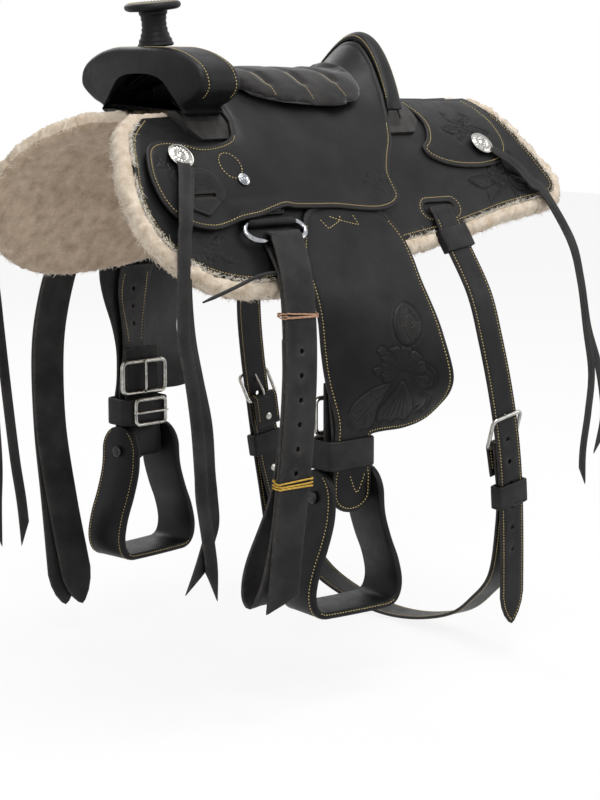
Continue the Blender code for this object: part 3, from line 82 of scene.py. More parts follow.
# Skirts, dees and slots
SKIRT_LENGTH = 0.586
SKIRT_DROP = 0.229
SKIRT_CENTRE = 0.025
FLEECE_PROUD = 0.012
DEE_X = -0.122
DEE_WIDTH = 0.074
DEE_WIRE = 0.003
DEE_TOP = 0.170
DEE_DROP = 0.023
DEE_RISE = 0.0024
SLEEVE_T = 0.0018
FLANK_X = 0.122
FLANK_SLOT_T = 0.1665
SLOT_W = 0.046
SLOT_H = 0.014

# Thread, and the finer points of a piece of leather: steps, lines cut into it and its worn edge
STITCH_IN = 0.0042
STITCH_PITCH = 0.0034
STITCH_LENGTH = 0.0017
STITCH_R = 0.00044
RIM_STEP = 0.0025
WORN_IN = 0.0016
GROOVE = (0.00035, 0.0006, (-0.0008, -0.0004, 0.0, 0.0004, 0.0008))
CREASE = (0.00030, 0.0004, (-0.0005, 0.0, 0.0005))

# Photograph
IMAGE_LONG_SIDE = 800
FOCAL_PIXELS = 2060.0
SENSOR = 36.0
CAMERA_AT = (-1.466, -1.678, 0.070)
CAMERA_TURN = math.radians(42.0)
CAMERA_DIP = math.radians(9.64)
FLOOR_GAP = 0.004
FLOOR_HALF = 6.0
FLOOR_GLOW = 0.88
WORLD_STRENGTH = 0.34
LIT = (0.0, 0.0, -0.22)
LAMPS = (("key", (-1.3, -1.9, 2.0), 1.2, 32.0), ("top", (0.2, -0.5, 2.4), 1.4, 40.0),
         ("fill", (2.0, -1.6, 0.8), 1.2, 9.0), ("back", (0.6, 2.2, 1.4), 1.6, 18.0))

SIDES = (("near", -1.0), ("off", 1.0))
X_AXIS, Y_AXIS, Z_AXIS = np.eye(3)
rng = np.random.default_rng(7)


# Materials

MIX_A, MIX_B, MIX_RESULT = 6, 7, 2


class Nodes:
    """Short hand for building a node tree."""

    def __init__(self, tree):
        self.nodes, self.links = tree.nodes, tree.links

    def set(self, node, inputs):
        """Sets a node's inputs, each to a number, a colour or another node's socket."""
        for name, value in inputs.items():
            if isinstance(value, bpy.types.NodeSocket):
                self.links.new(value, node.inputs[name])
            else:
                node.inputs[name].default_value = value

    def add(self, kind, inputs=(), **settings):
        made = self.nodes.new("ShaderNode" + kind)
        for name, value in settings.items():
            setattr(made, name, value)
        self.set(made, dict(inputs))
        return made

    def math(self, operation, *values):
        return self.add("Math", enumerate(values), operation=operation).outputs[0]


class Shader(Nodes):
    """One material, read at the object's own coordinates."""

    def __init__(self, name, surface=()):
        self.material = bpy.data.materials.new(name)
        self.material.use_nodes = True
        super().__init__(self.material.node_tree)
        self.surface = self.nodes["Principled BSDF"]
        self.set(self.surface, dict(surface))
        self.spot = self.add("TexCoord").outputs["Object"]

    def noise(self, scale, detail=3.0, rough=0.55, distortion=0.0):
        return self.add("TexNoise", {"Vector": self.spot, "Scale": scale, "Detail": detail,
                                     "Roughness": rough, "Distortion": distortion}).outputs["Fac"]

    def attribute(self, name):
        return self.add("Attribute", attribute_name=name).outputs["Fac"]

    def ranged(self, value, low, high, to_low=0.0, to_high=1.0):
        return self.add("MapRange", {"Value": value, "From Min": low, "From Max": high, "To Min": to_low,
                                     "To Max": to_high}).outputs["Result"]

    def sum(self, a, b, share=1.0):
        return self.math("MULTIPLY_ADD", b, share, a)

    def blend(self, amount, a, b):
        """Mix of two colours, each a colour or a socket."""
        return self.add("Mix", {"Factor": amount, MIX_A: a, MIX_B: b}, data_type="RGBA").outputs[MIX_RESULT]

    def finish(self, colour, roughness, height, depth, strength=1.0):
        bump = self.add("Bump", {"Strength": strength, "Distance": depth, "Height": height})
        self.set(self.surface, {"Base Color": colour, "Roughness": roughness,
                                "Normal": bump.outputs["Normal"]})
        return self.material


def srgb(*colour):
    """Colour written as 0 to 255, as linear light."""
    values = [v / 255.0 for v in colour]
    return (*[v / 12.92 if v <= 0.04045 else ((v + 0.055) / 1.055) ** 2.4 for v in values], 1.0)


def leather_look(name, dark, light, worn_and_highlight, rough, grain=1500.0, depth=0.00010):
    """Dyed leather: pored grain, soft mottling and edges made a little paler by wear, with a painted
    highlight on the carving's crests and painted shade in its cuts.
    """
    s = Shader(name, {"Specular IOR Level": 0.17})
    rub = s.noise(240.0, 4.0, 0.6)
    # The edge value holds wear near the rim and a painted highlight on the carving's crests; both blend
    # towards the paler colour.
    rubbed_and_highlight = s.math("MULTIPLY", s.attribute("edge"), s.ranged(rub, 0.35, 0.75, 0.15))
    colour = s.blend(s.ranged(s.noise(26.0, 4.0), 0.35, 0.68), dark, light)
    colour = s.blend(rubbed_and_highlight, colour, worn_and_highlight)
    # Painted shade: the sunk value darkens the carving's lowered ground and cuts towards near black.
    colour = s.blend(s.ranged(s.attribute("sunk"), 0.0, 1.0, 0.0, 0.75), colour, srgb(4, 4, 4))
    pores = s.add("TexVoronoi", {"Vector": s.spot, "Scale": grain}).outputs["Distance"]
    height = s.sum(s.sum(s.noise(grain * 0.45), pores, 0.8), s.noise(170.0), 1.6)
    roughness = s.ranged(s.sum(s.noise(60.0), rub, 0.5), 0.45, 1.05, *rough)
    return s.finish(colour, roughness, height, depth, 0.75)


def thread_look():
    s = Shader("thread_gold", {"Sheen Weight": 0.25})
    colour = s.blend(s.noise(900.0, 2.0), srgb(184, 152, 72), srgb(236, 216, 150))
    return s.finish(colour, s.ranged(s.noise(700.0), 0.3, 0.7, 0.45, 0.65), s.noise(3200.0, 2.0), 0.00010)


def fleece_look(name, shade, cream):
    s = Shader(name, {"Sheen Weight": 0.35, "Sheen Roughness": 0.6, "Specular IOR Level": 0.15})
    clumps = s.ranged(s.sum(s.noise(70.0), s.noise(420.0, 4.0, 0.65), 0.55), 0.52, 1.05)
    height = s.sum(s.noise(520.0, 5.0, 0.7, 1.2), s.noise(1600.0), 0.6)
    return s.finish(s.blend(clumps, shade, cream), s.ranged(clumps, 0.0, 1.0, 0.95, 0.82), height, 0.0008)


def metal_look(name, colour, smudged, low, high):
    """Plated metal with faint smudges and fine scratches."""
    s = Shader(name, {"Metallic": 1.0})
    smudge = s.noise(160.0, 4.0, 0.6)
    rough = s.ranged(s.sum(smudge, s.noise(2600.0, 2.0), 0.4), 0.4, 1.0, low, high)
    tint = s.blend(s.ranged(smudge, 0.4, 0.75), colour, smudged)
    return s.finish(tint, rough, s.noise(1300.0, 3.0, 0.6, 0.4), 0.00003, 0.4)


def suede_look():
    s = Shader("suede_black", {"Sheen Weight": 0.5, "Sheen Roughness": 0.45, "Specular IOR Level": 0.1})
    nap = s.ranged(s.noise(48.0, 5.0, 0.65), 0.3, 0.7)
    colour = s.blend(nap, srgb(26, 25, 25), srgb(52, 50, 49))
    return s.finish(colour, s.ranged(nap, 0.0, 1.0, 0.98, 0.86), s.noise(2100.0, 4.0, 0.7), 0.00016)


def rawhide_look():
    s = Shader("rawhide_dark")
    rings = s.add("TexWave", {"Vector": s.spot, "Scale": 22.0, "Distortion": 5.0, "Detail": 3.0})
    colour = s.blend(rings.outputs["Fac"], srgb(20, 18, 17), srgb(38, 34, 31))
    return s.finish(colour, s.ranged(s.noise(140.0), 0.3, 0.7, 0.5, 0.72), s.noise(900.0, 4.0), 0.0002)


def rubber_look(name, low, high):
    s = Shader(name)
    colour = s.blend(s.ranged(s.noise(380.0), 0.35, 0.7), low, high)
    return s.finish(colour, s.ranged(s.noise(900.0), 0.3, 0.7, 0.42, 0.6), s.noise(2400.0, 2.0), 0.00006)


LEATHER = leather_look("leather_black", srgb(15, 15, 16), srgb(29, 29, 30), srgb(60, 56, 52), (0.36, 0.52))
STRAP = leather_look("leather_strap", srgb(22, 22, 23), srgb(46, 45, 45), srgb(74, 71, 68), (0.42, 0.62),
                     1900.0, 0.00014)
THREAD = thread_look()
FLEECE = fleece_look("fleece_cream", srgb(196, 174, 148), srgb(240, 226, 206))
# Painted shade: a darker copy of the fleece for its inner face, which lies in the saddle's shade.
FLEECE_PAINTED_SHADE = fleece_look("fleece_inner_painted_shade", srgb(156, 134, 110), srgb(210, 188, 164))
# Painted light: a paler copy of the fleece for the loose locks, lifted against the shade they cast on one
# another.
FLEECE_PAINTED_LIGHT = fleece_look("fleece_tips_painted_light", srgb(242, 230, 208), srgb(252, 247, 236))
CHROME = metal_look("chrome", srgb(176, 178, 182), srgb(112, 115, 120), 0.08, 0.24)
NICKEL = metal_look("nickel", srgb(186, 184, 178), srgb(128, 126, 122), 0.14, 0.34)
STEEL = metal_look("steel_plain", srgb(70, 70, 72), srgb(46, 46, 48), 0.34, 0.52)
SUEDE = suede_look()
RAWHIDE = rawhide_look()
RUBBER_TAN = rubber_look("rubber_tan", srgb(152, 112, 84), srgb(196, 154, 122))
RUBBER_YELLOW = rubber_look("rubber_yellow", srgb(182, 138, 32), srgb(216, 178, 66))


# Curves

def mm(points):
    """Points listed in millimetres, as metres."""
    return [tuple(value / 1000 for value in point) for point in points]


def ease(value):
    share = np.clip(value, 0.0, 1.0)
    return share**2 * (3 - 2 * share)


def unit(vectors):
    """Vectors made one long."""
    return vectors / np.maximum(np.linalg.norm(vectors, axis=-1, keepdims=True), 1e-9)


def turns_of(count):
    return np.linspace(0, math.tau, count, endpoint=False)


def direction(angle):
    return np.array([math.cos(angle), math.sin(angle)])


def run_of(line):
    """Distance along a line at each of its points."""
    return np.concatenate([[0.0], np.cumsum(np.linalg.norm(np.diff(line, axis=0), axis=1))])


def read_at(where, run, table):
    """Rows of a table kept along a line, read at distances along it."""
    return np.stack([np.interp(where, run, table[:, k]) for k in range(table.shape[1])], axis=-1)


def left_of(along):
    return np.stack([-along[:, 1], along[:, 0]], axis=1)


def smooth(points, step, closed=False):
    """Evenly spaced points of a Catmull-Rom curve through the points given."""
    knots = np.array(points, float)
    if closed:
        knots = np.vstack([knots[-1], knots, knots[0], knots[1]])
    else:
        knots = np.vstack([2 * knots[0] - knots[1], knots, 2 * knots[-1] - knots[-2]])
    t = np.linspace(0.0, 1.0, 24, endpoint=False)[:, None]
    fine = []
    for before, a, b, after in zip(knots, knots[1:], knots[2:], knots[3:]):
        low = 2 * a + (b - before) * t
        high = (2 * before - 5 * a + 4 * b - after) * t**2
        fine.append(0.5 * (low + high + (3 * a - before - 3 * b + after) * t**3))
    return spaced(np.vstack(fine + [knots[-2:-1]]), step, closed)


def spaced(line, step, closed=False):
    """Evenly spaced points of a line; a closed one leaves out its repeated end."""
    line = np.array(line, float)
    run = run_of(line)
    count = max(3, round(run[-1] / step))
    made = read_at(np.linspace(0.0, run[-1], count + 1), run, line)
    return made[:-1] if closed else made


def densified(ring, step):
    """Closed ring whose corners stay, with no side longer than step."""
    made = []
    ring = np.array(ring, float)
    for a, b in zip(ring, np.roll(ring, -1, axis=0)):
        pieces = max(1, math.ceil(np.linalg.norm(b - a) / step))
        made += [a + (b - a) * k / pieces for k in range(pieces)]
    return np.array(made)


def area(ring):
    x, y = ring[:, 0], ring[:, 1]
    return 0.5 * np.sum(x * np.roll(y, -1) - np.roll(x, -1) * y)


def anticlockwise(ring):
    ring = np.array(ring, float)
    return ring if area(ring) >= 0 else ring[::-1]


def ring_normals(ring):
    """Direction to the left of each point of a closed ring."""
    return left_of(unit(np.roll(ring, -1, axis=0) - np.roll(ring, 1, axis=0)))


def segments(rings):
    return np.vstack(rings), np.vstack([np.roll(ring, -1, axis=0) for ring in rings])


def by_parts(spots, work):
    """Work on a few thousand spots at a time, which saves memory."""
    size = 2000
    return np.concatenate([work(spots[k:k + size]) for k in range(0, max(1, len(spots)), size)])


def distance_to(spots, starts, ends):
    """Least distance from each spot to the segments."""
    way = ends - starts
    square = np.maximum((way**2).sum(axis=1), 1e-18)

    def work(some):
        part = some[:, None, :] - starts[None]
        share = np.clip((part * way).sum(axis=2) / square, 0.0, 1.0)
        return np.sqrt(((part - share[..., None] * way) ** 2).sum(axis=2).min(axis=1))

    return by_parts(spots, work)


def inside(spots, rings):
    """Whether each spot lies in the outline and outside its holes."""
    starts, ends = segments(rings)
    rise = np.where(ends[:, 1] == starts[:, 1], 1e-12, ends[:, 1] - starts[:, 1])

    def work(some):
        x, y = some[:, 0, None], some[:, 1, None]
        crosses = (starts[:, 1] > y) != (ends[:, 1] > y)
        at = starts[:, 0] + (ends[:, 0] - starts[:, 0]) * (y - starts[:, 1]) / rise
        return (crosses & (x < at)).sum(axis=1) % 2 == 1

    return by_parts(spots, work)


def hexagonal(low, high, step):
    rows = np.arange(low[1], high[1], step * 0.87)
    made = []
    for k, y in enumerate(rows):
        x = np.arange(low[0] + (step / 2 if k % 2 else 0.0), high[0], step)
        made.append(np.stack([x, np.full(len(x), y)], axis=1))
    return np.vstack(made)


def corners(half_w, half_h, corner, steps):
    """Points round a box with round corners, as (across, up), with steps points at each corner."""
    made = []
    for k, (x, y) in enumerate(((1, 1), (-1, 1), (-1, -1), (1, -1))):
        for j in range(steps):
            a = math.radians(90 * k + 90 / (steps - 1) * j)
            made.append((x * (half_w - corner) + corner * math.cos(a),
                         y * (half_h - corner) + corner * math.sin(a)))
    return made


def soft_box(half_u, half_v, steps, power):
    c, s = np.cos(turns_of(steps)), np.sin(turns_of(steps))
    return np.stack([half_u * np.sign(c) * np.abs(c) ** power, half_v * np.sign(s) * np.abs(s) ** power],
                    axis=1)


# Horse's back and the layers on it

def back(t, off):
    """Point (y, z) of the horse's back at distance t from the ridge, off above it."""
    radius = SHOULDER_ARC / (FLANK_ANGLE - RIDGE_ANGLE)
    angle = RIDGE_ANGLE + np.minimum(t, SHOULDER_ARC) / radius
    rest = np.maximum(t - SHOULDER_ARC, 0.0)
    y = radius * (np.sin(angle) - math.sin(RIDGE_ANGLE)) + rest * np.cos(angle)
    z = radius * (np.cos(angle) - math.cos(RIDGE_ANGLE)) - rest * np.sin(angle)
    return y + off * np.sin(angle), z + off * np.cos(angle)


def points_of(x, y, z):
    return np.stack(np.broadcast_arrays(x, y, z), axis=-1).astype(float)


def lay(x, t, off):
    return points_of(x, *back(t, off))


HANG_Y = float(back(SKIRT_DROP, UNDER_HIGH)[0])


def hung(points, thick=0.0):
    """Places listed in millimetres as x, z and the way out from where the skirt ends."""
    return [(x, HANG_Y + out - thick, z) for x, z, out in mm(points)]


def mirrored(points, side):
    made = np.array(points, float)
    made[..., 1] *= side
    return made


def side_place(side, low):
    """Places a flat pattern (x, distance from the ridge) on the back, low above it."""
    return lambda u, w, h: mirrored(lay(u, w, low + h), side)


# Meshes

def mesh_piece(name, shape, material, body, nodes=(), smoothed=True):
    """Piece made of points and faces, which rides on a body and replaces nodes."""
    mesh = bpy.data.meshes.new(name)
    mesh.from_pydata(np.asarray(shape[0], float).tolist(), [], [tuple(int(i) for i in f) for f in shape[1]])
    mesh.validate()
    mesh.materials.append(material)
    if smoothed:
        mesh.shade_smooth()
    made = bpy.data.objects.new(name, mesh)
    bpy.context.scene.collection.objects.link(made)
    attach(made, body)
    if nodes:
        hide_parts(*nodes)
    return made


def point_value(piece, name, values):
    """Stores a number for each point that the material reads."""
    held = piece.data.attributes.new(name, "FLOAT", "POINT")
    held.data.foreach_set("value", np.asarray(values, np.float32))


def outward(verts, faces):
    """Points and faces, the faces turned round if they look inward."""
    fans = np.array([(f[0], f[i], f[i + 1]) for f in faces for i in range(1, len(f) - 1)])
    a, b, c = np.array(verts)[fans].transpose(1, 0, 2)
    return verts, faces if np.sum(a * np.cross(b, c)) >= 0 else [f[::-1] for f in faces]


def two_faced(over, under, cells):
    """Closed sheet between two layers of points that share their triangles."""
    count = len(over)
    sides = np.concatenate([cells[:, [0, 1]], cells[:, [1, 2]], cells[:, [2, 0]]])
    _, index, times = np.unique(np.sort(sides, axis=1), axis=0, return_index=True, return_counts=True)
    faces = [tuple(c) for c in cells] + [tuple(c[::-1] + count) for c in cells]
    faces += [(b, a, a + count, b + count) for a, b in sides[index[times == 1]]]
    return outward(np.vstack([over, under]), faces)


def flat_mesh(rings, insets, hole_insets, step, zones, keep_off):
    """Triangles of a flat pattern, with rings of points drawn in from its edges."""
    whole = [anticlockwise(rings[0])] + [anticlockwise(ring)[::-1] for ring in rings[1:]]
    starts, ends = segments(whole)
    spots = []
    edges = []
    for k, ring in enumerate(whole):
        parts = [ring]
        for inset in hole_insets if k else insets:
            moved = ring + ring_normals(ring) * inset
            parts.append(moved[distance_to(moved, starts, ends) > 0.96 * inset])
        for part in parts:
            if len(part) > 3:
                first = sum(len(spot) for spot in spots)
                edges += [(first + i, first + (i + 1) % len(part)) for i in range(len(part))]
                spots.append(part)
    inner = hexagonal(whole[0].min(axis=0), whole[0].max(axis=0), step)
    for centre, reach, fine in zones:
        inner = inner[np.linalg.norm((inner - centre) / reach, axis=1) > 1.0]
        patch = hexagonal(np.array(centre) - reach, np.array(centre) + reach, fine)
        inner = np.vstack([inner, patch[np.linalg.norm((patch - centre) / reach, axis=1) <= 1.0]])
    inner = inner[inside(inner, whole)]
    spots.append(inner[distance_to(inner, starts, ends) > keep_off])
    flat, _, cells = delaunay_2d_cdt([Vector(p) for p in np.vstack(spots)], edges, [], 0, 1e-6)[:3]
    flat = np.array([(p.x, p.y) for p in flat])
    cells = np.array([c for c in cells if len(c) == 3])
    cells = cells[inside(flat[cells].mean(axis=1), whole)]
    used = np.unique(cells)
    index = np.full(len(flat), -1)
    index[used] = np.arange(len(used))
    return flat[used], index[cells], distance_to(flat[used], starts, ends)


def hide(name, rings, place, thick, nodes=(), material=LEATHER, body="saddle", groove=0.0, crease=0.0,
         relief=None, step=0.006, zones=(), top=None):
    """Piece of leather with rounded edges, laid on a surface; groove or crease is a line that far in."""
    round_in = 0.42 * thick
    cuts = [(line, *cut) for line, cut in ((groove, GROOVE), (crease, CREASE)) if line]
    insets = sorted([0.18 * round_in, 0.5 * round_in, round_in]
                    + [cut[0] + d for cut in cuts for d in cut[3]])
    flat, cells, edge = flat_mesh([densified(ring, RIM_STEP) for ring in rings], insets,
                                  [0.4 * round_in, round_in], step, zones, max(insets) + 0.4 * step)
    u, w = flat[:, 0], flat[:, 1]
    share = np.clip(edge / round_in, 0.0, 1.0)
    fat = thick / 2 * (0.35 + 0.65 * np.sqrt(1 - (1 - share) ** 2))
    carved = relief(u, w, edge) if relief else np.zeros(len(u))
    high = thick / 2 + fat + carved + (top(u, w) if top else 0.0)
    for line, depth, width, _ in cuts:
        high = high - depth * np.exp(-((edge - line) / width) ** 2)
    piece = mesh_piece(name, two_faced(place(u, w, high), place(u, w, thick / 2 - fat), cells), material,
                       body, nodes)
    near = np.exp(-edge / WORN_IN)
    # Painted highlight: the carving's crests join the worn rim in the edge value, which makes them paler.
    crest_highlight = 0.8 * np.clip((carved - 0.0006) / 0.0005, 0.0, 1.0)
    point_value(piece, "edge", np.concatenate([np.maximum(near, crest_highlight), near]))
    # Painted shade: the sunk value marks the carving's lowered ground and cuts, which the leather darkens.
    point_value(piece, "sunk", np.concatenate([np.clip(-carved / 0.0008, 0.0, 1.0), np.zeros(len(u))]))
    return piece


def tube_faces(rings, count, closed=False):
    """Faces between rings of count points each, and their caps unless the tube is closed."""
    faces = []
    for s in range(rings if closed else rings - 1):
        a, b = s * count, (s + 1) % rings * count
        faces += [(a + k, a + (k + 1) % count, b + (k + 1) % count, b + k) for k in range(count)]
    caps = [tuple(range(count))[::-1], tuple(range((rings - 1) * count, rings * count))]
    return faces if closed else faces + caps


def copies(pattern, size, count):
    """Faces of count copies of a shape with size points."""
    return [tuple(first + i for i in face) for first in range(0, size * count, size) for face in pattern]


def skin(rings, closed=False):
    """Points and faces over rings of equal count; closed joins the last ring to the first."""
    return outward(np.vstack(rings), tube_faces(len(rings), len(rings[0]), closed))


def gather(parts):
    """Several point and face lists as one."""
    faces = []
    count = 0
    for points, cells in parts:
        faces += [tuple(count + i for i in cell) for cell in cells]
        count += len(points)
    return np.vstack([points for points, _ in parts]), faces


def tube_rings(points, radius, sides=14, closed=False, flat=Z_AXIS):
    line = np.array(points, float)
    if closed:
        along = unit(np.roll(line, -1, axis=0) - np.roll(line, 1, axis=0))
    else:
        along = unit(np.gradient(line, axis=0))
    lift = unit(np.array(flat, float) - along * (along @ np.array(flat, float))[:, None])
    wide = np.cross(along, lift)
    c, s = np.cos(turns_of(sides))[:, None], np.sin(turns_of(sides))[:, None]
    radii = np.broadcast_to(radius, len(line))
    return [spot + r * (c * w + s * up) for spot, w, up, r in zip(line, wide, lift, radii)]


def turned(centre, up, profile, steps=48, shape=None):
    """Turned piece from radius and height pairs; shape(angle, radius) adds height."""
    up = unit(np.array(up, float))
    wide = unit(np.cross(up, X_AXIS))
    turns = turns_of(steps)
    round_it = np.cos(turns)[:, None] * wide + np.sin(turns)[:, None] * np.cross(up, wide)
    rings = []
    for radius, height in profile:
        lift = height + (shape(turns, radius) if shape else np.zeros(steps))
        rings.append(np.array(centre) + radius * round_it + lift[:, None] * up)
    return skin(rings)


# Thread

STITCH = [(s, reach * math.cos(a), reach * math.sin(a))
          for s, reach in ((-0.5, 0.45), (-0.32, 1.0), (0.32, 1.0), (0.5, 0.45)) for a in turns_of(6)]
THREADS = {}


def sew(body, line, normals, radius=STITCH_R):
    """Stitches along a dense line whose normals point out of the leather; each body's are one piece."""
    run = run_of(line)
    count = int(run[-1] / STITCH_PITCH)
    if count < 1:
        return
    middle = (np.arange(count) + 0.5) * run[-1] / count
    a = read_at(np.clip(middle - STITCH_LENGTH / 2, 0, run[-1]), run, line)
    b = read_at(np.clip(middle + STITCH_LENGTH / 2, 0, run[-1]), run, line)
    up = unit(read_at(middle, run, np.asarray(normals)))
    wide = unit(np.cross(up, b - a))
    along = b - a + 0.16 * STITCH_LENGTH * wide
    centre = (a + b) / 2 + up * radius * 0.25
    shape = np.array(STITCH)
    bow = 1.0 - (2 * shape[:, 0]) ** 2
    verts = (centre[:, None] + along[:, None] * shape[None, :, 0, None]
             + wide[:, None] * (radius * shape[None, :, 1, None])
             + up[:, None] * (radius * (shape[:, 2] + 0.5 * bow - 0.35)[None, :, None]))
    THREADS.setdefault(body, []).append((verts.reshape(-1, 3), copies(tube_faces(4, 6), len(shape), count)))


def sew_on(body, path, place, height, closed=False):
    """Stitches along a flat path laid on a surface."""
    path = np.array(path, float)
    path = spaced(np.vstack([path, path[:1]]) if closed else path, 0.0012)
    line = place(path[:, 0], path[:, 1], height)
    sew(body, line, place(path[:, 0], path[:, 1], height + 0.001) - line)


def inner_line(outline, amount, keep):
    """Runs of the outline drawn in by amount, where keep allows."""
    ring = anticlockwise(densified(outline, 0.002))
    moved = ring + ring_normals(ring) * amount
    good = distance_to(moved, *segments([ring])) > 0.97 * amount
    good &= np.array([bool(keep(u, w)) for u, w in moved])
    if good.all():
        return [np.vstack([moved, moved[:1]])]
    order = np.roll(np.arange(len(ring)), -int(np.argmin(good)))
    runs = np.split(moved[order], np.flatnonzero(np.diff(good[order])) + 1)[1::2]
    return [run for run in runs if len(run) > 2]


# Straps

class Route:
    """Smooth line through points with a width direction, for straps."""

    def __init__(self, points, turns=None, side=1.0):
        self.line = smooth(points, 0.0015)
        self.run = run_of(self.line)
        self.length = float(self.run[-1])
        along = unit(np.gradient(self.line, axis=0))
        wide = np.array([turns(p) if turns else X_AXIS for p in self.line], float)
        self.wide = unit(wide - along * (wide * along).sum(axis=1, keepdims=True))
        self.up = np.cross(self.wide, along)
        self.side = side

    def place(self, u, w, h):
        """Point at u along, w across and h above the middle of the strap's thickness."""
        line, wide, up = (read_at(u, self.run, table) for table in (self.line, self.wide, self.up))
        return mirrored(line + wide * np.asarray(w)[..., None] + up * np.asarray(h)[..., None], self.side)

    def laid(self, thick):
        """Place function whose height starts at the strap's lower face."""
        return lambda u, w, h: self.place(u, w, np.broadcast_to(h, np.shape(u)) - thick / 2)


STRAP_ENDS = {"point": [(0.95, 1.0), (0.62, 0.86), (0.32, 0.60), (0.08, 0.24), (0.0, 0.0), (0.08, -0.24),
                        (0.32, -0.60), (0.62, -0.86), (0.95, -1.0)],
              "slant": [(0.4, 1.0), (0.0, -1.0)], "square": [(0.0, 1.0), (0.0, -1.0)]}


def strap_outline(length, width, start="square", end="square"):
    first = [(width * s, width / 2 * v) for s, v in STRAP_ENDS[start]]
    return first + [(length - width * s, width / 2 * v) for s, v in STRAP_ENDS[end][::-1]]


def circle(u, w, radius, sides=20):
    return [(u, w) + radius * direction(a) for a in turns_of(sides)]


def strap_piece(name, route, width, nodes, body, material=STRAP, start="square", end="square", holes=(),
                hole_r=0.0026, sewn=0.0, plain=(0.0, 0.0)):
    """Strap with holes, creased or sewn along its edges; plain lengths at its ends stay unsewn."""
    rings = [strap_outline(route.length, width, start, end)] + [circle(u, 0.0, hole_r) for u in holes]
    place = route.laid(STRAP_T)
    if sewn:
        first, last = plain[0], route.length - plain[1]
        for run in inner_line(rings[0], sewn, lambda u, w: first < u < last):
            sew_on(body, run, place, STRAP_T - 0.0001)
        for run in inner_line(rings[0], sewn, lambda u, w: first + 0.016 < u < last):
            sew_on(body, run, lambda u, w, h: place(u, w, -h), 0.0001)
    hide(name, rings, place, STRAP_T, nodes, material, body, crease=sewn or 0.0026, step=0.005)


def banded(inner, outer, edge, place):
    """Rings of a band round something; edge is the lower half of its section."""
    section = edge + [(s, -rise) for s, rise in reversed(edge)]
    return [[place(a * (1 - s) + b * s, rise) for s, rise in section] for a, b in zip(inner, outer)]


# Tooled flowers and leaves

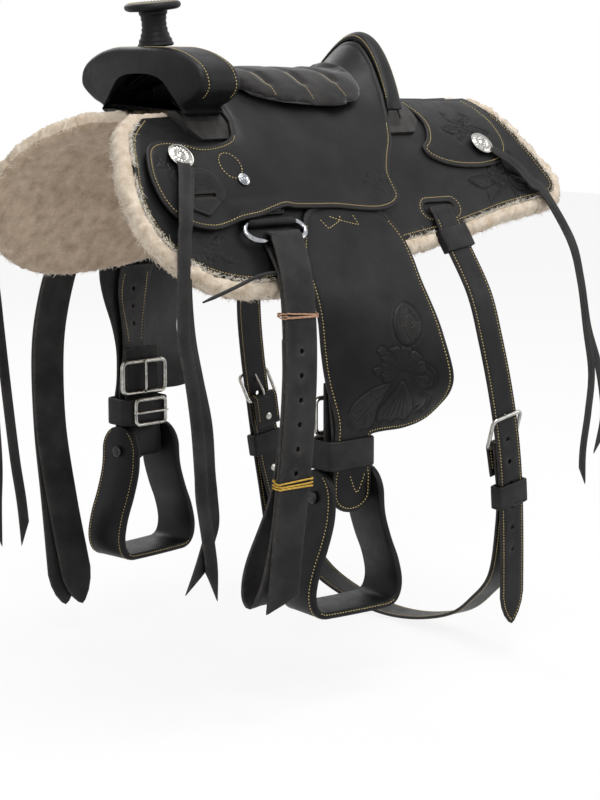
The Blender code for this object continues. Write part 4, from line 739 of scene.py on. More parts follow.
class Carving:
    """Lines cut into leather in a flat frame, in metres, with raised petals and leaves."""

    def __init__(self, centre, scale=1.0):
        self.centre = np.array(centre)
        self.scale = scale
        self.strokes = []
        self.raised = []

    def at(self, points):
        return np.array(points, float) * 0.001 * self.scale + self.centre

    def cut(self, points):
        self.strokes.append(self.at(smooth(points, 1.2)))

    def shape(self, points, crown=0.5):
        """Closed outline whose inside stands up from the ground."""
        line = smooth(points, 1.2, True)
        self.strokes.append(self.at(np.vstack([line, line[:1]])))
        self.raised.append((self.at(line), crown))

    def petal(self, root, degrees, length, width, rays=3):
        """Petal that widens to a notched round end, with fine lines from its root."""
        way = direction(math.radians(degrees)) * length
        across = np.array([-way[1], way[0]]) * width / length
        rim = [(0.0, 0.0), (0.30, 0.20), (0.62, 0.42), (0.88, 0.44), (1.0, 0.24), (0.95, 0.0)]
        rim += [(u, -v) for u, v in reversed(rim[1:-1])]
        self.shape([root + way * u + across * v for u, v in rim])
        for k in range(rays):
            share = (k + 1) / (rays + 1) - 0.5
            self.cut([root + way * u + across * share * 1.1 * u for u in (0.16, 0.5, 0.80)])

    def leaf(self, root, tip, width, bend, veins):
        """Pointed leaf from root to tip, with a midrib and side veins."""
        root, tip = np.array(root, float), np.array(tip, float)
        length = np.linalg.norm(tip - root)
        way = (tip - root) / length
        across = np.array([-way[1], way[0]])
        share = np.arange(13)[:, None] / 12
        spine = root + way * length * share + across * bend * length * np.sin(math.pi * share)
        half = across * width / 2 * np.sin(math.pi * share**0.75).clip(0.0) ** 0.8
        for line in (spine + half, spine - half, spine[1:-1]):
            self.cut(line)
        self.raised.append((self.at(np.vstack([spine + half, (spine - half)[::-1]])), 0.55))
        for k in range(1, veins + 1):
            i = round(k / (veins + 1.2) * 12)
            for edge in (half, -half):
                if i + 3 < 13:
                    end = spine[i + 2] + 0.72 * edge[i + 3]
                    self.cut([spine[i], (spine[i] + end) / 2 + way * 0.6, end])

    def flower(self, radius, petals, start):
        """Open flower with scalloped petals, radial lines and a seeded heart."""
        half = math.pi / petals * 0.94
        for a in start + turns_of(petals):
            rim = []
            for share in np.arange(-6, 7) / 6:
                reach = radius * (0.72 + 0.28 * math.cos(share * math.pi * 0.5) ** 0.6)
                notch = 1.0 - 0.06 * math.exp(-(share / 0.16) ** 2)
                rim.append(reach * notch * direction(a + half * share))
            rim = [0.24 * radius * direction(a - half)] + rim + [0.24 * radius * direction(a + half)]
            self.cut(rim)
            self.raised.append((self.at(rim), 0.5))
            for share in (-0.55, -0.2, 0.18, 0.5):
                ray = radius * direction(a + half * share)
                self.cut([reach * ray for reach in (0.28, 0.5, 0.72 - 0.2 * abs(share))])
        heart = [0.22 * radius * direction(a) for a in turns_of(12)]
        self.cut(heart + heart[:1])
        self.raised.append((self.at(heart), 0.6))

    def scroll(self, start, heading, length, curl):
        """Stem that winds into a spiral."""
        line = [np.array(start, float)]
        for share in np.arange(26) / 25:
            heading += curl * (0.05 + 0.42 * share**2)
            line.append(line[-1] + length / 26 * (1.15 - 0.75 * share) * direction(heading))
        self.cut(line)

    def zone(self, fine):
        """Middle, reach and point spacing of the part of a mesh that holds the carving."""
        spots = np.vstack(self.strokes)
        low, high = spots.min(axis=0), spots.max(axis=0)
        return (low + high) / 2, (high - low) / 2 * 1.22, fine

    def relief(self, depth=0.00085, width=0.00068, ground=0.00045):
        """Height of the carved face at flat points."""
        starts = np.vstack([s[:-1] for s in self.strokes])
        ends = np.vstack([s[1:] for s in self.strokes])
        centre, reach, _ = self.zone(0.0)

        def height(u, w, edge):
            spots = np.stack([u, w], axis=1)
            made = np.zeros(len(u))
            near = np.linalg.norm((spots - centre) / (reach * 1.15), axis=1) < 1.0
            part = spots[near]
            if not len(part):
                return made
            gap = distance_to(part, starts, ends)
            lifted = np.zeros(len(part))
            for ring, crown in self.raised:
                held = inside(part, [ring])
                deep = distance_to(part[held], *segments([ring]))
                lifted[held] = np.maximum(lifted[held], crown * 0.0012 * (1 - np.exp(-deep / 0.0016)))
            pebble = np.array([noise.noise(Vector((p[0] * 950, p[1] * 950, 0.0))) for p in part])
            sunk = ease(1.0 - (gap - 0.0012) / 0.0030) * (-ground + 0.00016 * pebble)
            bead = lifted + 0.00030 * np.exp(-(((gap - 0.0013) / 0.0006) ** 2))
            made[near] = np.where(lifted > 0, bead, sunk) - depth * np.exp(-((gap / width) ** 2))
            return made

        return height


def fender_carving():
    """Fan flower with a bud above, a lobed leaf in front, a bell of strokes below and scrolls behind."""
    c = Carving((-0.001, -0.252))
    c.shape([(4, 25), (-3, 37), (-1, 51), (8, 62), (19, 65), (28, 58), (30, 46), (26, 35), (16, 26)], 0.7)
    c.cut([(12, 29), (8, 40), (12, 52), (20, 54), (23, 47), (18, 42), (15, 46)])
    c.cut([(17, 29), (24, 39), (25, 49), (20, 58)])
    for x, y in ((3, 45), (6, 55), (15, 61), (24, 56), (28, 47)):
        c.cut([(x, y), (x + (12 - x) * 0.25, y + (45 - y) * 0.25)])
    for degrees in (8, 40, 72, 104, 136, 168, 200):
        c.petal((0, 0), degrees, 25 if degrees < 150 else 21, 12.5)
    c.petal((9, -6), -22, 20, 12, 2)
    for root, scroll in (((12, -3), [(14, 2), (28, 4), (36, -4), (35, -15), (27, -18), (23, -12), (27, -8)]),
                         ((8, -12), [(12, -14), (24, -22), (36, -27), (40, -38), (34, -46), (26, -43),
                                     (28, -37)])):
        c.cut([root] + scroll)
        c.cut([np.array(p) * 0.93 + np.array((-1.0, -3.0)) for p in scroll[:-2]])
    c.shape([(1, -10), (9, -20), (18, -32), (24, -44), (19, -53), (8, -50), (0, -54), (-9, -50), (-17, -53),
             (-20, -42), (-13, -30), (-6, -19)], 0.6)
    for tip in (-14, -8, -1, 6, 13, 19):
        c.cut([(1, -14), (1 + (tip - 1) * 0.45, -29), (tip, -46)])
    c.shape([(-11, -12), (-25, -15), (-38, -23), (-50, -34), (-55, -46), (-50, -56), (-38, -59), (-26, -57),
             (-21, -48), (-20, -36), (-15, -24)], 0.65)
    c.cut([(-12, -16), (-24, -28), (-36, -41), (-45, -50)])
    for x, y in ((-30, -20), (-41, -30), (-49, -42), (-36, -55), (-27, -47)):
        c.cut([(x, y), (x * 0.5 - 15, y * 0.5 - 16)])
    c.petal((-12, 4), 196, 17, 10, 2)
    c.petal((-9, 12), 140, 18, 9, 2)
    return c


def spray(x, t, scale):
    """Smaller carving for the corners of the skirts and jockeys."""
    c = Carving((x, t), scale)
    c.flower(15.0, 6, 0.4)
    for root, tip, width, bend, veins in (((14, 4), (52, 16), 15.0, 0.08, 3),
                                          ((-13, 6), (-50, 4), 15.0, -0.08, 3),
                                          ((4, -14), (26, -30), 11.0, 0.14, 2),
                                          ((-6, 14), (-28, 30), 11.0, 0.14, 2)):
        c.leaf(root, tip, width, bend, veins)
    for start, heading, length, curl in (((12, 12), 0.9, 40, 0.9), ((-12, -10), 3.8, 42, 1.0),
                                         ((20, -8), -0.3, 40, -1.0)):
        c.scroll(start, heading, length, curl)
    return c


def summed(*parts):
    return lambda u, w, edge: sum(part(u, w, edge) for part in parts)


# Skirts and fleece

# Depth and width of faint tooling's lines, and depth of its ground
FAINT = (0.0003, 0.0005, 0.0001)
# Loose wool: its part, locks tried, least and most gap from the skirt's edge, rise, and spread along the edge
WOOL = (("rim", 13000, 0.0006, FLEECE_PROUD + 0.001, 0.0, 0.8), ("edge", 3400, 0.0004, 0.0026, 0.0042, 1.2))
SKIRT_SHAPE = [
    (0.105, 0.170), (0.045, 0.300), (0.008, 0.490), (0.000, 0.610), (0.010, 0.730), (0.042, 0.850),
    (0.090, 0.938), (0.150, 0.988), (0.215, 1.000), (0.310, 0.978), (0.420, 0.925), (0.550, 0.868),
    (0.660, 0.830), (0.750, 0.787), (0.840, 0.740), (0.920, 0.712), (0.962, 0.698), (0.990, 0.668),
    (0.996, 0.618), (0.982, 0.545), (0.962, 0.400), (0.950, 0.200), (0.944, 0.040),
]


def out_of(line):
    """Direction out of an open outline at each of its points."""
    return left_of(unit(np.gradient(line, axis=0)))


def stadium(u, w, width, height, sides=12):
    ring = []
    for way, turn in ((1, -90), (-1, 90)):
        middle = (u + way * (width - height) / 2, w)
        ring += [middle + height / 2 * direction(math.radians(turn + 180 * k / sides))
                 for k in range(sides + 1)]
    return ring


def build_skirts():
    first = SKIRT_CENTRE - SKIRT_LENGTH / 2
    outline = smooth([(first + SKIRT_LENGTH * u, SKIRT_DROP * v) for u, v in SKIRT_SHAPE], 0.004)
    top = outline[0][1] + 0.004
    rear, front = spray(0.232, 0.132, 1.0), spray(-0.205, 0.196, 0.62)
    slot = stadium(FLANK_X, FLANK_SLOT_T, SLOT_W, SLOT_H)
    for name, side in SIDES:
        place = side_place(side, SKIRT_LOW)
        hide("skirt_leather_" + name, [outline, slot], place, SKIRT_T, ["skirt_" + name], groove=STITCH_IN,
             relief=summed(rear.relief(0.0005), front.relief(*FAINT)),
             zones=[rear.zone(0.0012), front.zone(0.0012)])
        for run in inner_line(outline, STITCH_IN, lambda u, w: w > 0.050 or u < -0.19 and w > top):
            sew_on("saddle", run, place, SKIRT_T - 0.0002)
        sew_on("saddle", stadium(FLANK_X + 0.002, FLANK_SLOT_T, 0.060, 0.025), place, SKIRT_T, True)
        hide("slot_backing_" + name, [stadium(FLANK_X, FLANK_SLOT_T, SLOT_W + 0.012, SLOT_H + 0.010)],
             side_place(side, FLEECE_T - 0.0002), 0.0010, step=0.004)
        build_fleece(name, side, outline)
        build_wool(name, side, outline)


def fuzz(points, scale, seed):
    return np.array([noise.noise(Vector(p) * scale + Vector((seed, 0.0, seed))) for p in points])


def build_fleece(name, side, outline):
    """Fleece lining: a lumpy pile that stands proud of the leather."""
    ring = anticlockwise(densified(outline + out_of(outline) * (FLEECE_PROUD + 0.001), 0.0035))
    flat, cells, edge = flat_mesh([ring], [0.0012, 0.003, 0.0055, 0.008, 0.0105, 0.013], [], 0.0036, [],
                                  0.0145)
    leather = densified(outline, 0.004)
    proud = np.where(inside(flat, [leather]), -1.0, 1.0) * distance_to(flat, *segments([leather]))
    share = np.clip(edge / 0.006, 0.0, 1.0)
    bulge = np.sqrt(1 - (1 - share) ** 2)
    u, w = flat[:, 0], flat[:, 1]
    place = side_place(side, 0.0)
    base = place(u, w, np.full(len(u), FLEECE_T / 2))
    lump = fuzz(base, 95.0, 3.0) + 0.5 * fuzz(base, 260.0, 9.0)
    fine = fuzz(base, 330.0, 5.0)
    rise = ease((proud - 0.0002) / 0.0026)
    over = FLEECE_T * (0.62 + 0.38 * bulge) + rise * (0.0030 + 0.0013 * lump + 0.0022 * fine + 0.0016 * bulge)
    over = np.where(proud < 0.0005, np.minimum(over, FLEECE_T), over)
    under = FLEECE_T * (0.38 - 0.38 * bulge) - np.abs(0.0020 * lump + 0.0012 * fine) * bulge
    nearest = by_parts(flat, lambda some: ((some[:, None] - ring[None]) ** 2).sum(axis=2).argmin(axis=1))
    push = (0.0020 + 0.0014 * lump + 0.0026 * fine) * np.clip(1.0 - edge / 0.0065, 0.0, 1.0)
    moved = flat - ring_normals(ring)[nearest] * push[:, None]
    shift = place(moved[:, 0], moved[:, 1], np.full(len(u), FLEECE_T / 2)) - base
    shape = two_faced(place(u, w, over) + shift, place(u, w, under) + shift, cells)
    pile = mesh_piece("fleece_pile_" + name, shape, FLEECE, "saddle", ["fleece_" + name])
    # The inner face takes the darker copy of the fleece, as painted shade.
    pile.data.materials.append(FLEECE_PAINTED_SHADE)
    which = np.zeros(len(pile.data.polygons), np.int32)
    which[len(cells):2 * len(cells)] = 1
    pile.data.polygons.foreach_set("material_index", which)


def build_wool(name, side, outline):
    """Short curved locks along the fleece's rim and, where rise is above 0, over the skirt's edge."""
    place = side_place(side, 0.0)
    path = spaced(outline, 0.0008)
    path = path[path[:, 1] > 0.045]
    out = out_of(path)
    along = np.stack([out[:, 1], -out[:, 0]], axis=1)
    clump = fuzz(lay(path[:, 0], path[:, 1], 0.0), 190.0, 4.0)
    for part, count, low, high, rise, slack in WOOL:
        pick = rng.integers(0, len(path), count)
        gap = rng.uniform(low, high, count)
        x, t = path[pick].T
        clear = (np.abs(x - FLANK_X - 0.004) > 0.026) | (t < 0.100)
        if rise > 0:
            clear &= ((x < -0.112) | (x > 0.060)) & (clump[pick] > -0.06)
        pick, gap = pick[clear], gap[clear]
        count = len(pick)
        root = path[pick] + out[pick] * gap[:, None]
        if rise > 0:
            deep = FLEECE_T + 0.001 + rng.uniform(0.0, 0.002, count)
        else:
            deep = np.where(gap < 0.009, FLEECE_T, FLEECE_T * rng.uniform(0.1, 0.95, count))
        lean = out[pick] * (-0.55 if rise > 0 else 1.0) + along[pick] * rng.normal(0.0, slack, count)[:, None]
        reach = rng.uniform(0.0026, 0.0060, count)
        lift = rng.uniform(0.6 * rise, 1.2 * rise, count) if rise > 0 else rng.uniform(-0.0012, 0.0020, count)
        locks(f"wool_{part}_{name}", place, root, deep, lean * reach[:, None], lift, 0.00048)


def locks(name, place, root, high, lean, lift, thick):
    """Tapered strands from flat roots; lean is their flat reach and lift their rise."""
    steps, sides = 4, 3
    sway = rng.normal(0.0, 0.35, len(root))
    rings = []
    for s in np.arange(steps) / (steps - 1):
        c, n = np.cos(sway * s), np.sin(sway * s)
        way = np.stack([lean[:, 0] * c - lean[:, 1] * n, lean[:, 0] * n + lean[:, 1] * c], axis=1)
        radius = thick * (1.0 - 0.82 * s)
        ring = []
        for a in turns_of(sides):
            flat = root + way * s + unit(left_of(way)) * (radius * math.cos(a))
            up = high + lift * math.sin(s * math.pi * 0.62) + radius * math.sin(a)
            ring.append(place(flat[:, 0], flat[:, 1], up))
        rings.append(np.stack(ring, axis=1))
    faces = tube_faces(steps, sides)
    pattern = faces[:-2] + [cap[::-1] for cap in faces[-2:]]
    shape = (np.stack(rings, axis=1).reshape(-1, 3), copies(pattern, steps * sides, len(root)))
    # The locks take the paler copy of the fleece, as painted light.
    mesh_piece(name, shape, FLEECE_PAINTED_LIGHT, "saddle")


# Seat, jockeys and rosettes

SEAT_FRONT = -0.118
SEAT_JOIN = 0.118
SEAT_BASE = 0.0229
PAD_SEAMS = (-0.052, -0.006, 0.040)
PAD_T = 0.0034
PAD_HALF = 0.072
SEAT_LINE = mm([(-130, 47), (-100, 39), (-55, 34.5), (0, 33), (45, 35), (80, 44), (105, 61), (128, 84)])
SEAT_SIDE = [(-97, 156.5), (-86, 158), (-60, 159.5), (-30, 161), (0, 165), (24, 167), (42, 165), (55, 160),
             (62, 152), (61, 140), (60, 128), (70, 113), (86, 96), (98, 78)]
RIM_SHAPE = mm([(108, 60), (117, 35), (122, 12)])
FRONT_JOCKEY = [(-118, 66), (-128, 80), (-150, 88), (-176, 90), (-196, 84), (-222, 82), (-240, 90),
                (-250, 108), (-253, 124), (-250, 141), (-240, 158), (-221, 170), (-197, 175), (-176, 172),
                (-160, 168), (-136, 165), (-112, 159)]
REAR_JOCKEY = [(162, 16), (164, 60), (150, 86), (134, 98), (140, 112), (170, 122), (215, 124), (250, 116),
               (266, 96), (270, 60), (264, 22)]
ROSETTE = [(-213, 120), (-205, 115), (-192, 114), (-179, 119), (-171, 136), (-175, 144), (-200, 162),
           (-219, 154), (-222, 139)]
SEAT_CURVE = smooth(SEAT_LINE, 0.004)


def seat_height(x):
    return np.interp(x, SEAT_CURVE[:, 0], SEAT_CURVE[:, 1])


def seat_point(x, v):
    """Underside of the seat and front jockeys; v is the way out from the middle, then down the flank."""
    side = np.where(v < 0, -1.0, 1.0)
    v = np.abs(v)
    rise = DEE_RISE * ease((v - 0.142) / 0.013) * ease((x + 0.178) / 0.016) * ease((-0.084 - x) / 0.026)
    flank = lay(x, v, JOCKEY_LOW + rise)
    end = lay(x, np.full_like(v, SEAT_JOIN), JOCKEY_LOW)
    ahead = (lay(x, np.full_like(v, SEAT_JOIN + 0.001), JOCKEY_LOW) - end) / 0.001
    start = points_of(x, np.zeros_like(v), seat_height(x) + JOCKEY_LOW - SEAT_BASE)
    s = np.minimum(v / SEAT_JOIN, 1.0)[..., None]
    reach = SEAT_JOIN * 1.05
    spot = (2 * s**3 - 3 * s**2 + 1) * start + (s**3 - 2 * s**2 + s) * Y_AXIS * reach
    spot = spot + (3 * s**2 - 2 * s**3) * end + (s**3 - s**2) * ahead * reach
    join = np.where(v >= SEAT_JOIN, 1.0, ease((-0.106 - x) / 0.022))[..., None]
    return mirrored(spot * (1 - join) + flank * join, side)


def seat_place(x, v, h):
    x, v = np.asarray(x, float), np.asarray(v, float)
    e = 0.0005
    normal = unit(np.cross(seat_point(x + e, v) - seat_point(x - e, v),
                           seat_point(x, v + e) - seat_point(x, v - e)))
    return seat_point(x, v) + normal * np.broadcast_to(h, x.shape)[..., None]


def build_seat():
    half = [(SEAT_FRONT, 0.0), (SEAT_FRONT, 0.030), (SEAT_FRONT, 0.058)]
    half += [tuple(p) for p in smooth(mm(FRONT_JOCKEY + SEAT_SIDE), 0.004)] + RIM_SHAPE
    outline = half + [(x, -v) for x, v in reversed(half[1:])]
    sprays = [spray(x, way * t, scale) for way in (-1, 1) for x, t, scale in ((0.036, 0.138, 0.42),
                                                                             (-0.222, 0.112, 0.40))]
    hide("seat_and_jockeys", [outline], seat_place, JOCKEY_T,
         ["seat_leather", "front_jockey_near", "front_jockey_off"],
         groove=STITCH_IN, relief=summed(*[c.relief(*FAINT) for c in sprays]),
         zones=[c.zone(0.0011) for c in sprays], step=0.005)
    for run in inner_line(outline, STITCH_IN, lambda u, w: abs(w) > 0.080):
        sew_on("saddle", run, seat_place, JOCKEY_T - 0.0002)
    for way in (-1.0, 1.0):
        sew_on("saddle", circle(-0.150, way * 0.112, 0.013, 40), seat_place, JOCKEY_T, True)
    build_pad()
    rear = smooth(mm(REAR_JOCKEY), 0.004)
    corner = spray(0.214, 0.074, 0.66)
    for name, side in SIDES:
        place = side_place(side, UNDER_LOW)
        hide("rear_jockey_leather_" + name, [rear], place, JOCKEY_T, ["rear_jockey_" + name],
             groove=STITCH_IN, relief=corner.relief(), zones=[corner.zone(0.0012)])
        for run in inner_line(rear, STITCH_IN, lambda u, w: w > 0.026):
            sew_on("saddle", run, place, JOCKEY_T - 0.0002)
        build_rosette(name, side)


def build_rosette(name, side):
    """Slotted leather keeper under the strings, with fold lines cut into it."""
    slot = stadium(-0.1985, 0.1405, 0.027, 0.0034, 6)
    folds = Carving((0.0, 0.0))
    for down in (0.0, 4.0, 8.0):
        folds.cut([(-214 + down, 134 - down), (-200, 135.5 - down), (-188 + down / 2, 133 - down)])
    for root in (-211, -187):
        folds.cut([(root, 141), (root + math.copysign(6, root + 199), 148)])
    hide("rosette_leather_" + name, [mm(ROSETTE), slot], side_place(side, TRIM_LOW), TRIM_T,
         ["rosette_" + name], crease=0.003, step=0.0018, relief=folds.relief(0.00075, 0.0008, 0.0001))


def pad_outline(front, rear, half):
    """Rounded oblong, narrower in front."""
    ring = soft_box(1.0, 1.0, 72, 0.6)
    return [((front + rear) / 2 + u * (rear - front) / 2, half * (0.86 + 0.14 * u) * w) for u, w in ring]


def build_pad():
    """Stuffed suede seat: blown up by a cloth simulation, then drawn in along its sewn channels."""
    base = JOCKEY_T + 3 * GAP

    def crown(u, w):
        x = (u + 0.003) / 0.097
        v = w / (PAD_HALF * (0.86 + 0.14 * x))
        reach = np.minimum(1.0, (np.abs(x) ** 3.3 + np.abs(v) ** 3.3) ** (1 / 3.3))
        return 0.0115 * (1 - reach**2) ** 0.6

    pad = hide("seat_pad_suede", [pad_outline(-0.0985, 0.0925, PAD_HALF - 0.0015)],
               lambda u, w, h: seat_place(u, w, base + h), PAD_T, ["seat_pad"], SUEDE, top=crown, step=0.0045)
    plump(pad, 0.0045, 0.0050)
    spots = points_in(pad.data)
    x, y = spots[:, 0], spots[:, 1]
    top = seat_height(x) + JOCKEY_T - 0.004 * np.abs(y) / 0.07
    for seam in PAD_SEAMS:
        above = np.clip((spots[:, 2] - top) / 0.004, 0.0, 1.0)
        bow = seam + 0.010 * (y / 0.07) ** 2
        spots[:, 2] -= above * 0.0046 * np.exp(-(((x - bow) / 0.0042) ** 2))
    pad.data.vertices.foreach_set("co", spots.ravel())
    for seam in PAD_SEAMS:
        v = np.linspace(-0.062, 0.062, 80)
        line = seat_place(seam + 0.010 * (v / 0.07) ** 2, v, base + PAD_T + crown(np.full(80, seam), v))
        line = dropped(line, pad)
        if len(line) > 5:
            sew("saddle", line, np.tile(Z_AXIS, (len(line), 1)), 0.0004)


def points_in(mesh):
    spots = np.empty(len(mesh.vertices) * 3)
    mesh.vertices.foreach_get("co", spots)
    return spots.reshape(-1, 3)


def dropped(line, piece):
    """The line moved down on to a piece's upper face."""
    hits = [piece.ray_cast(Vector((*p[:2], p[2] + 0.05)), Vector((0.0, 0.0, -1.0))) for p in line]
    return np.array([tuple(hit[1]) for hit in hits if hit[0]])


def plump(piece, voxel, most):
    """Blows a closed soft piece up with the cloth simulation, moving no point further than most."""
    scene = bpy.context.scene
    remesh = piece.modifiers.new("even", "REMESH")
    remesh.mode = "VOXEL"
    remesh.voxel_size = voxel
    even = bpy.data.meshes.new_from_object(piece.evaluated_get(bpy.context.evaluated_depsgraph_get()))
    piece.modifiers.clear()
    even.materials.clear()
    even.materials.append(piece.data.materials[0])
    piece.data = even
    cloth = piece.modifiers.new("cloth", "CLOTH").settings
    cloth.use_pressure = True
    cloth.uniform_pressure_force = 4.0
    cloth.quality = 6
    cloth.tension_stiffness = 18.0
    cloth.compression_stiffness = 18.0
    cloth.effector_weights.gravity = 0.0
    for step in range(1, 21):
        scene.frame_set(step)
    blown = points_in(piece.evaluated_get(bpy.context.evaluated_depsgraph_get()).data)
    piece.modifiers.clear()
    move = blown - points_in(even)
    move -= move.mean(axis=0)
    move *= np.minimum(1.0, most / np.maximum(np.linalg.norm(move, axis=1, keepdims=True), 1e-9))
    even.vertices.foreach_set("co", (points_in(even) + move).ravel())
    even.shade_smooth()
    scene.frame_set(1)
    fine = piece.modifiers.new("fine", "SUBSURF")
    fine.levels = fine.render_levels = 1


# Swell, horn and cantle

FORK_FRONT = -0.168
FORK_REAR = -0.122
FORK_TOP = 0.070
FORK_LEAN = 0.10
SWELL_HALF = 0.098
GULLET_HALF = 0.050
GULLET_TOP = 0.044
COVER_T = 0.0028
BAR_HIGH = UNDER_LOW + 0.010
HORN_UP = unit(np.array([-0.10, 0.0, 1.0]))
HORN_NECK = mm([(17.6, -1.6), (18.2, 1), (17, 4), (14.8, 9), (13.4, 14), (12.6, 20), (12.8, 26), (14, 31),
                (15.2, 34)])
HORN_CAP = mm([(20, 0), (24.8, 0.4), (27.2, 1.4), (28.6, 3), (29, 4.8), (28.4, 6.6), (26.8, 8), (25, 8.6),
               (24.4, 8.3), (23.6, 8.6), (15, 8.9), (4, 9)])
# Section of the leather on the cantle's back: share of the way down, share of its thickness
CANTLE_BACK = ((0, 0), (0, 0.8), (0.02, 1), (0.2, 1), (0.4, 1), (0.6, 1), (0.8, 1), (0.97, 1), (1, 0.8),
               (1, 0), (0.75, 0), (0.5, 0), (0.25, 0))


def fork_ring(grow, foot):
    outer = [(0.066 + grow, 0.013), (0.082 + grow, 0.020), (SWELL_HALF + grow, 0.034),
             (SWELL_HALF - 0.006 + grow, 0.050 + grow), (0.070 + grow / 2, 0.063 + grow),
             (0.046, FORK_TOP - 0.001 + grow), (0.020, FORK_TOP + grow)]
    inner = [(0.016, GULLET_TOP - grow), (0.034, GULLET_TOP - 0.005 - grow),
             (GULLET_HALF - 0.004 - grow, GULLET_TOP - 0.018), (GULLET_HALF - grow, 0.016)]
    feet = [tuple(float(c) for c in back(t, BAR_HIGH + foot)) for t in (0.036, 0.045, 0.054)]
    outside = smooth(feet[2:] + outer + [(-y, z) for y, z in reversed(outer)] + [(-feet[2][0], feet[2][1])],
                     0.004)
    bore = smooth([(-feet[0][0], feet[0][1])] + [(-y, z) for y, z in reversed(inner)] + inner + feet[:1],
                  0.004)
    return np.vstack([outside, bore])


def build_swell():
    """Leather over the fork, its front and rear edges rolled and sewn."""
    ring = fork_ring(COVER_T + GAP, 2 * GAP)
    rolls = mm([(0, 5.2), (1.2, 3), (3.4, 1), (7, 0)])
    first, last = FORK_FRONT - COVER_T - GAP, FORK_REAR + COVER_T + GAP
    stations = [(first + d, inset) for d, inset in rolls]
    stations += [(first + (last - first) * s, 0.0) for s in (0.3, 0.45, 0.6, 0.75)]
    stations += [(last - d, inset) for d, inset in reversed(rolls)]
    normals = ring_normals(ring) * (-1.0 if area(ring) < 0 else 1.0)
    rings = []
    for x, inset in stations:
        y, z = (ring + normals * inset).T
        z = np.maximum(z, ring[:, 1].min())
        rings.append(points_of(x - FORK_LEAN * z, y, z))
    mesh_piece("swell_leather", skin(rings), LEATHER, "saddle", ["swell_cover"])
    in_gullet = (np.abs(ring[:, 0]) < GULLET_HALF + 0.002) & (ring[:, 1] < GULLET_TOP + 0.004)
    top = (ring[:, 1] > 0.022) & ~in_gullet
    y, z = (ring[top] + normals[top] * 0.0005).T
    out = points_of(0.0, *-normals[top].T)
    for x in (first + 0.0085, last - 0.0085):
        sew("saddle", points_of(x - FORK_LEAN * z, y, z) + out * 0.0006, out)


def build_horn():
    base = FORK_TOP + COVER_T + 2 * GAP
    centre = np.array([(FORK_FRONT + FORK_REAR) / 2 - FORK_LEAN * base, 0.0, base + 0.0020])
    wrapped = []
    for (r0, h0), (r1, h1) in zip(HORN_NECK, HORN_NECK[1:]):
        for s in (0.0, 0.33, 0.66):
            height = h0 + (h1 - h0) * s
            wrapped.append((r0 + (r1 - r0) * s + 0.0005 * math.cos(math.tau * height / 0.0052), height))
    verts, faces = turned(centre, HORN_UP, wrapped + HORN_NECK[-1:])
    verts[:, 2] = np.maximum(verts[:, 2], base)
    mesh_piece("horn_leather", (verts, faces), LEATHER, "saddle", ["horn"])
    top = centre + HORN_UP * 0.0343
    mesh_piece("horn_cap_leather", turned(top, HORN_UP, HORN_CAP, 64), LEATHER, "saddle", ["horn_cap"])
    turns = np.linspace(0, math.tau, 160)[:, None]
    wide = unit(np.cross(HORN_UP, X_AXIS))
    ring = top + HORN_UP * 0.0087 + 0.0244 * (np.cos(turns) * wide + np.sin(turns) * np.cross(HORN_UP, wide))
    sew("saddle", ring, np.tile(HORN_UP, (len(ring), 1)))


def floor_at(y, off):
    ys, zs = back(np.linspace(0.0, SKIRT_DROP, 400), off)
    return float(np.interp(abs(y), ys, zs))


def build_cantle():
    """Rolled binding over the cantle, and the leather on its back."""
    stations = np.linspace(-0.072, 0.072, 49)
    roll = []
    back_rings = []
    for k, v in enumerate(stations):
        x = 0.122 - 0.024 * min(1.0, abs(v) / 0.078) ** 2
        _, y, z = seat_place([x], [v], JOCKEY_T)[0]
        end = min(k, len(stations) - 1 - k)
        high = 0.009 * (1.0 - 0.35 * math.exp(-end / 1.5))
        roll.append([(x + 0.022 * (0.5 - 0.5 * math.cos(a)) - 0.001, y,
                      z + 3 * GAP + high * math.sin(a) ** 0.8)
                     for a in math.pi * np.arange(21) / 20])
        low = min(floor_at(y, UNDER_LOW + 0.0015), z - 0.006)
        foot = floor_at(y, BAR_HIGH + 0.0010)
        a = np.array((x + 0.0151, y, z - 0.001))
        b = np.array((x + 0.0151 + 0.008 * (z - 0.001 - foot) / (z - 0.001 - low), y, foot))
        thick = COVER_T * (0.55 + 0.45 * min(1.0, end / 2.0))
        back_rings.append([a + (b - a) * s + (thick * t, 0, 0) for s, t in CANTLE_BACK])
    mesh_piece("cantle_roll", skin(roll), LEATHER, "saddle", ["cantle_binding"])
    mesh_piece("cantle_skin", skin(back_rings), LEATHER, "saddle", ["cantle_back"])
    for q, out in ((3, (-0.5, 0.0, 0.85)), (17, (0.5, 0.0, 0.85))):
        line = spaced(np.array(roll)[2:-2, q], 0.001)
        sew("saddle", line, np.tile(out, (len(line), 1)))


# Conchos, screws, dees and rigging

STRING_T = 0.0025
STRING_LIFT = 0.0004
FRONT_CONCHO = (-0.209, 0.1025)
REAR_CONCHO = (0.222, 0.100)
SCREW_AT = (-0.142, 0.127)
CONCHO = mm([(10.4, 0), (13, 0.4), (13.1, 1.1), (12.6, 1.5), (11.9, 1.1), (11.3, 1.1), (10, 1.9), (8.6, 2.2),
             (7, 2.4), (5.8, 2.3), (4.9, 1.2), (4.3, 1.2), (3.6, 2.9), (2.2, 3.5), (0.6, 3.6)])
SCREW_HEAD = mm([(6, 0), (6.8, 0.4), (6.7, 1.2), (6, 1.5), (5.2, 0.5), (4.6, 0.5), (4.4, 2), (3.8, 2.7),
                 (3.2, 2.7), (2.8, 1), (2.2, 1), (1.9, 2.6), (1, 2.9), (0.3, 2.9)])


def on_layer(spot, side, off):
    x, t = spot
    centre = lay(x, t, off)
    up = lay(x, t, off + 0.01) - centre
    return mirrored(centre, side), mirrored(up / np.linalg.norm(up), side)


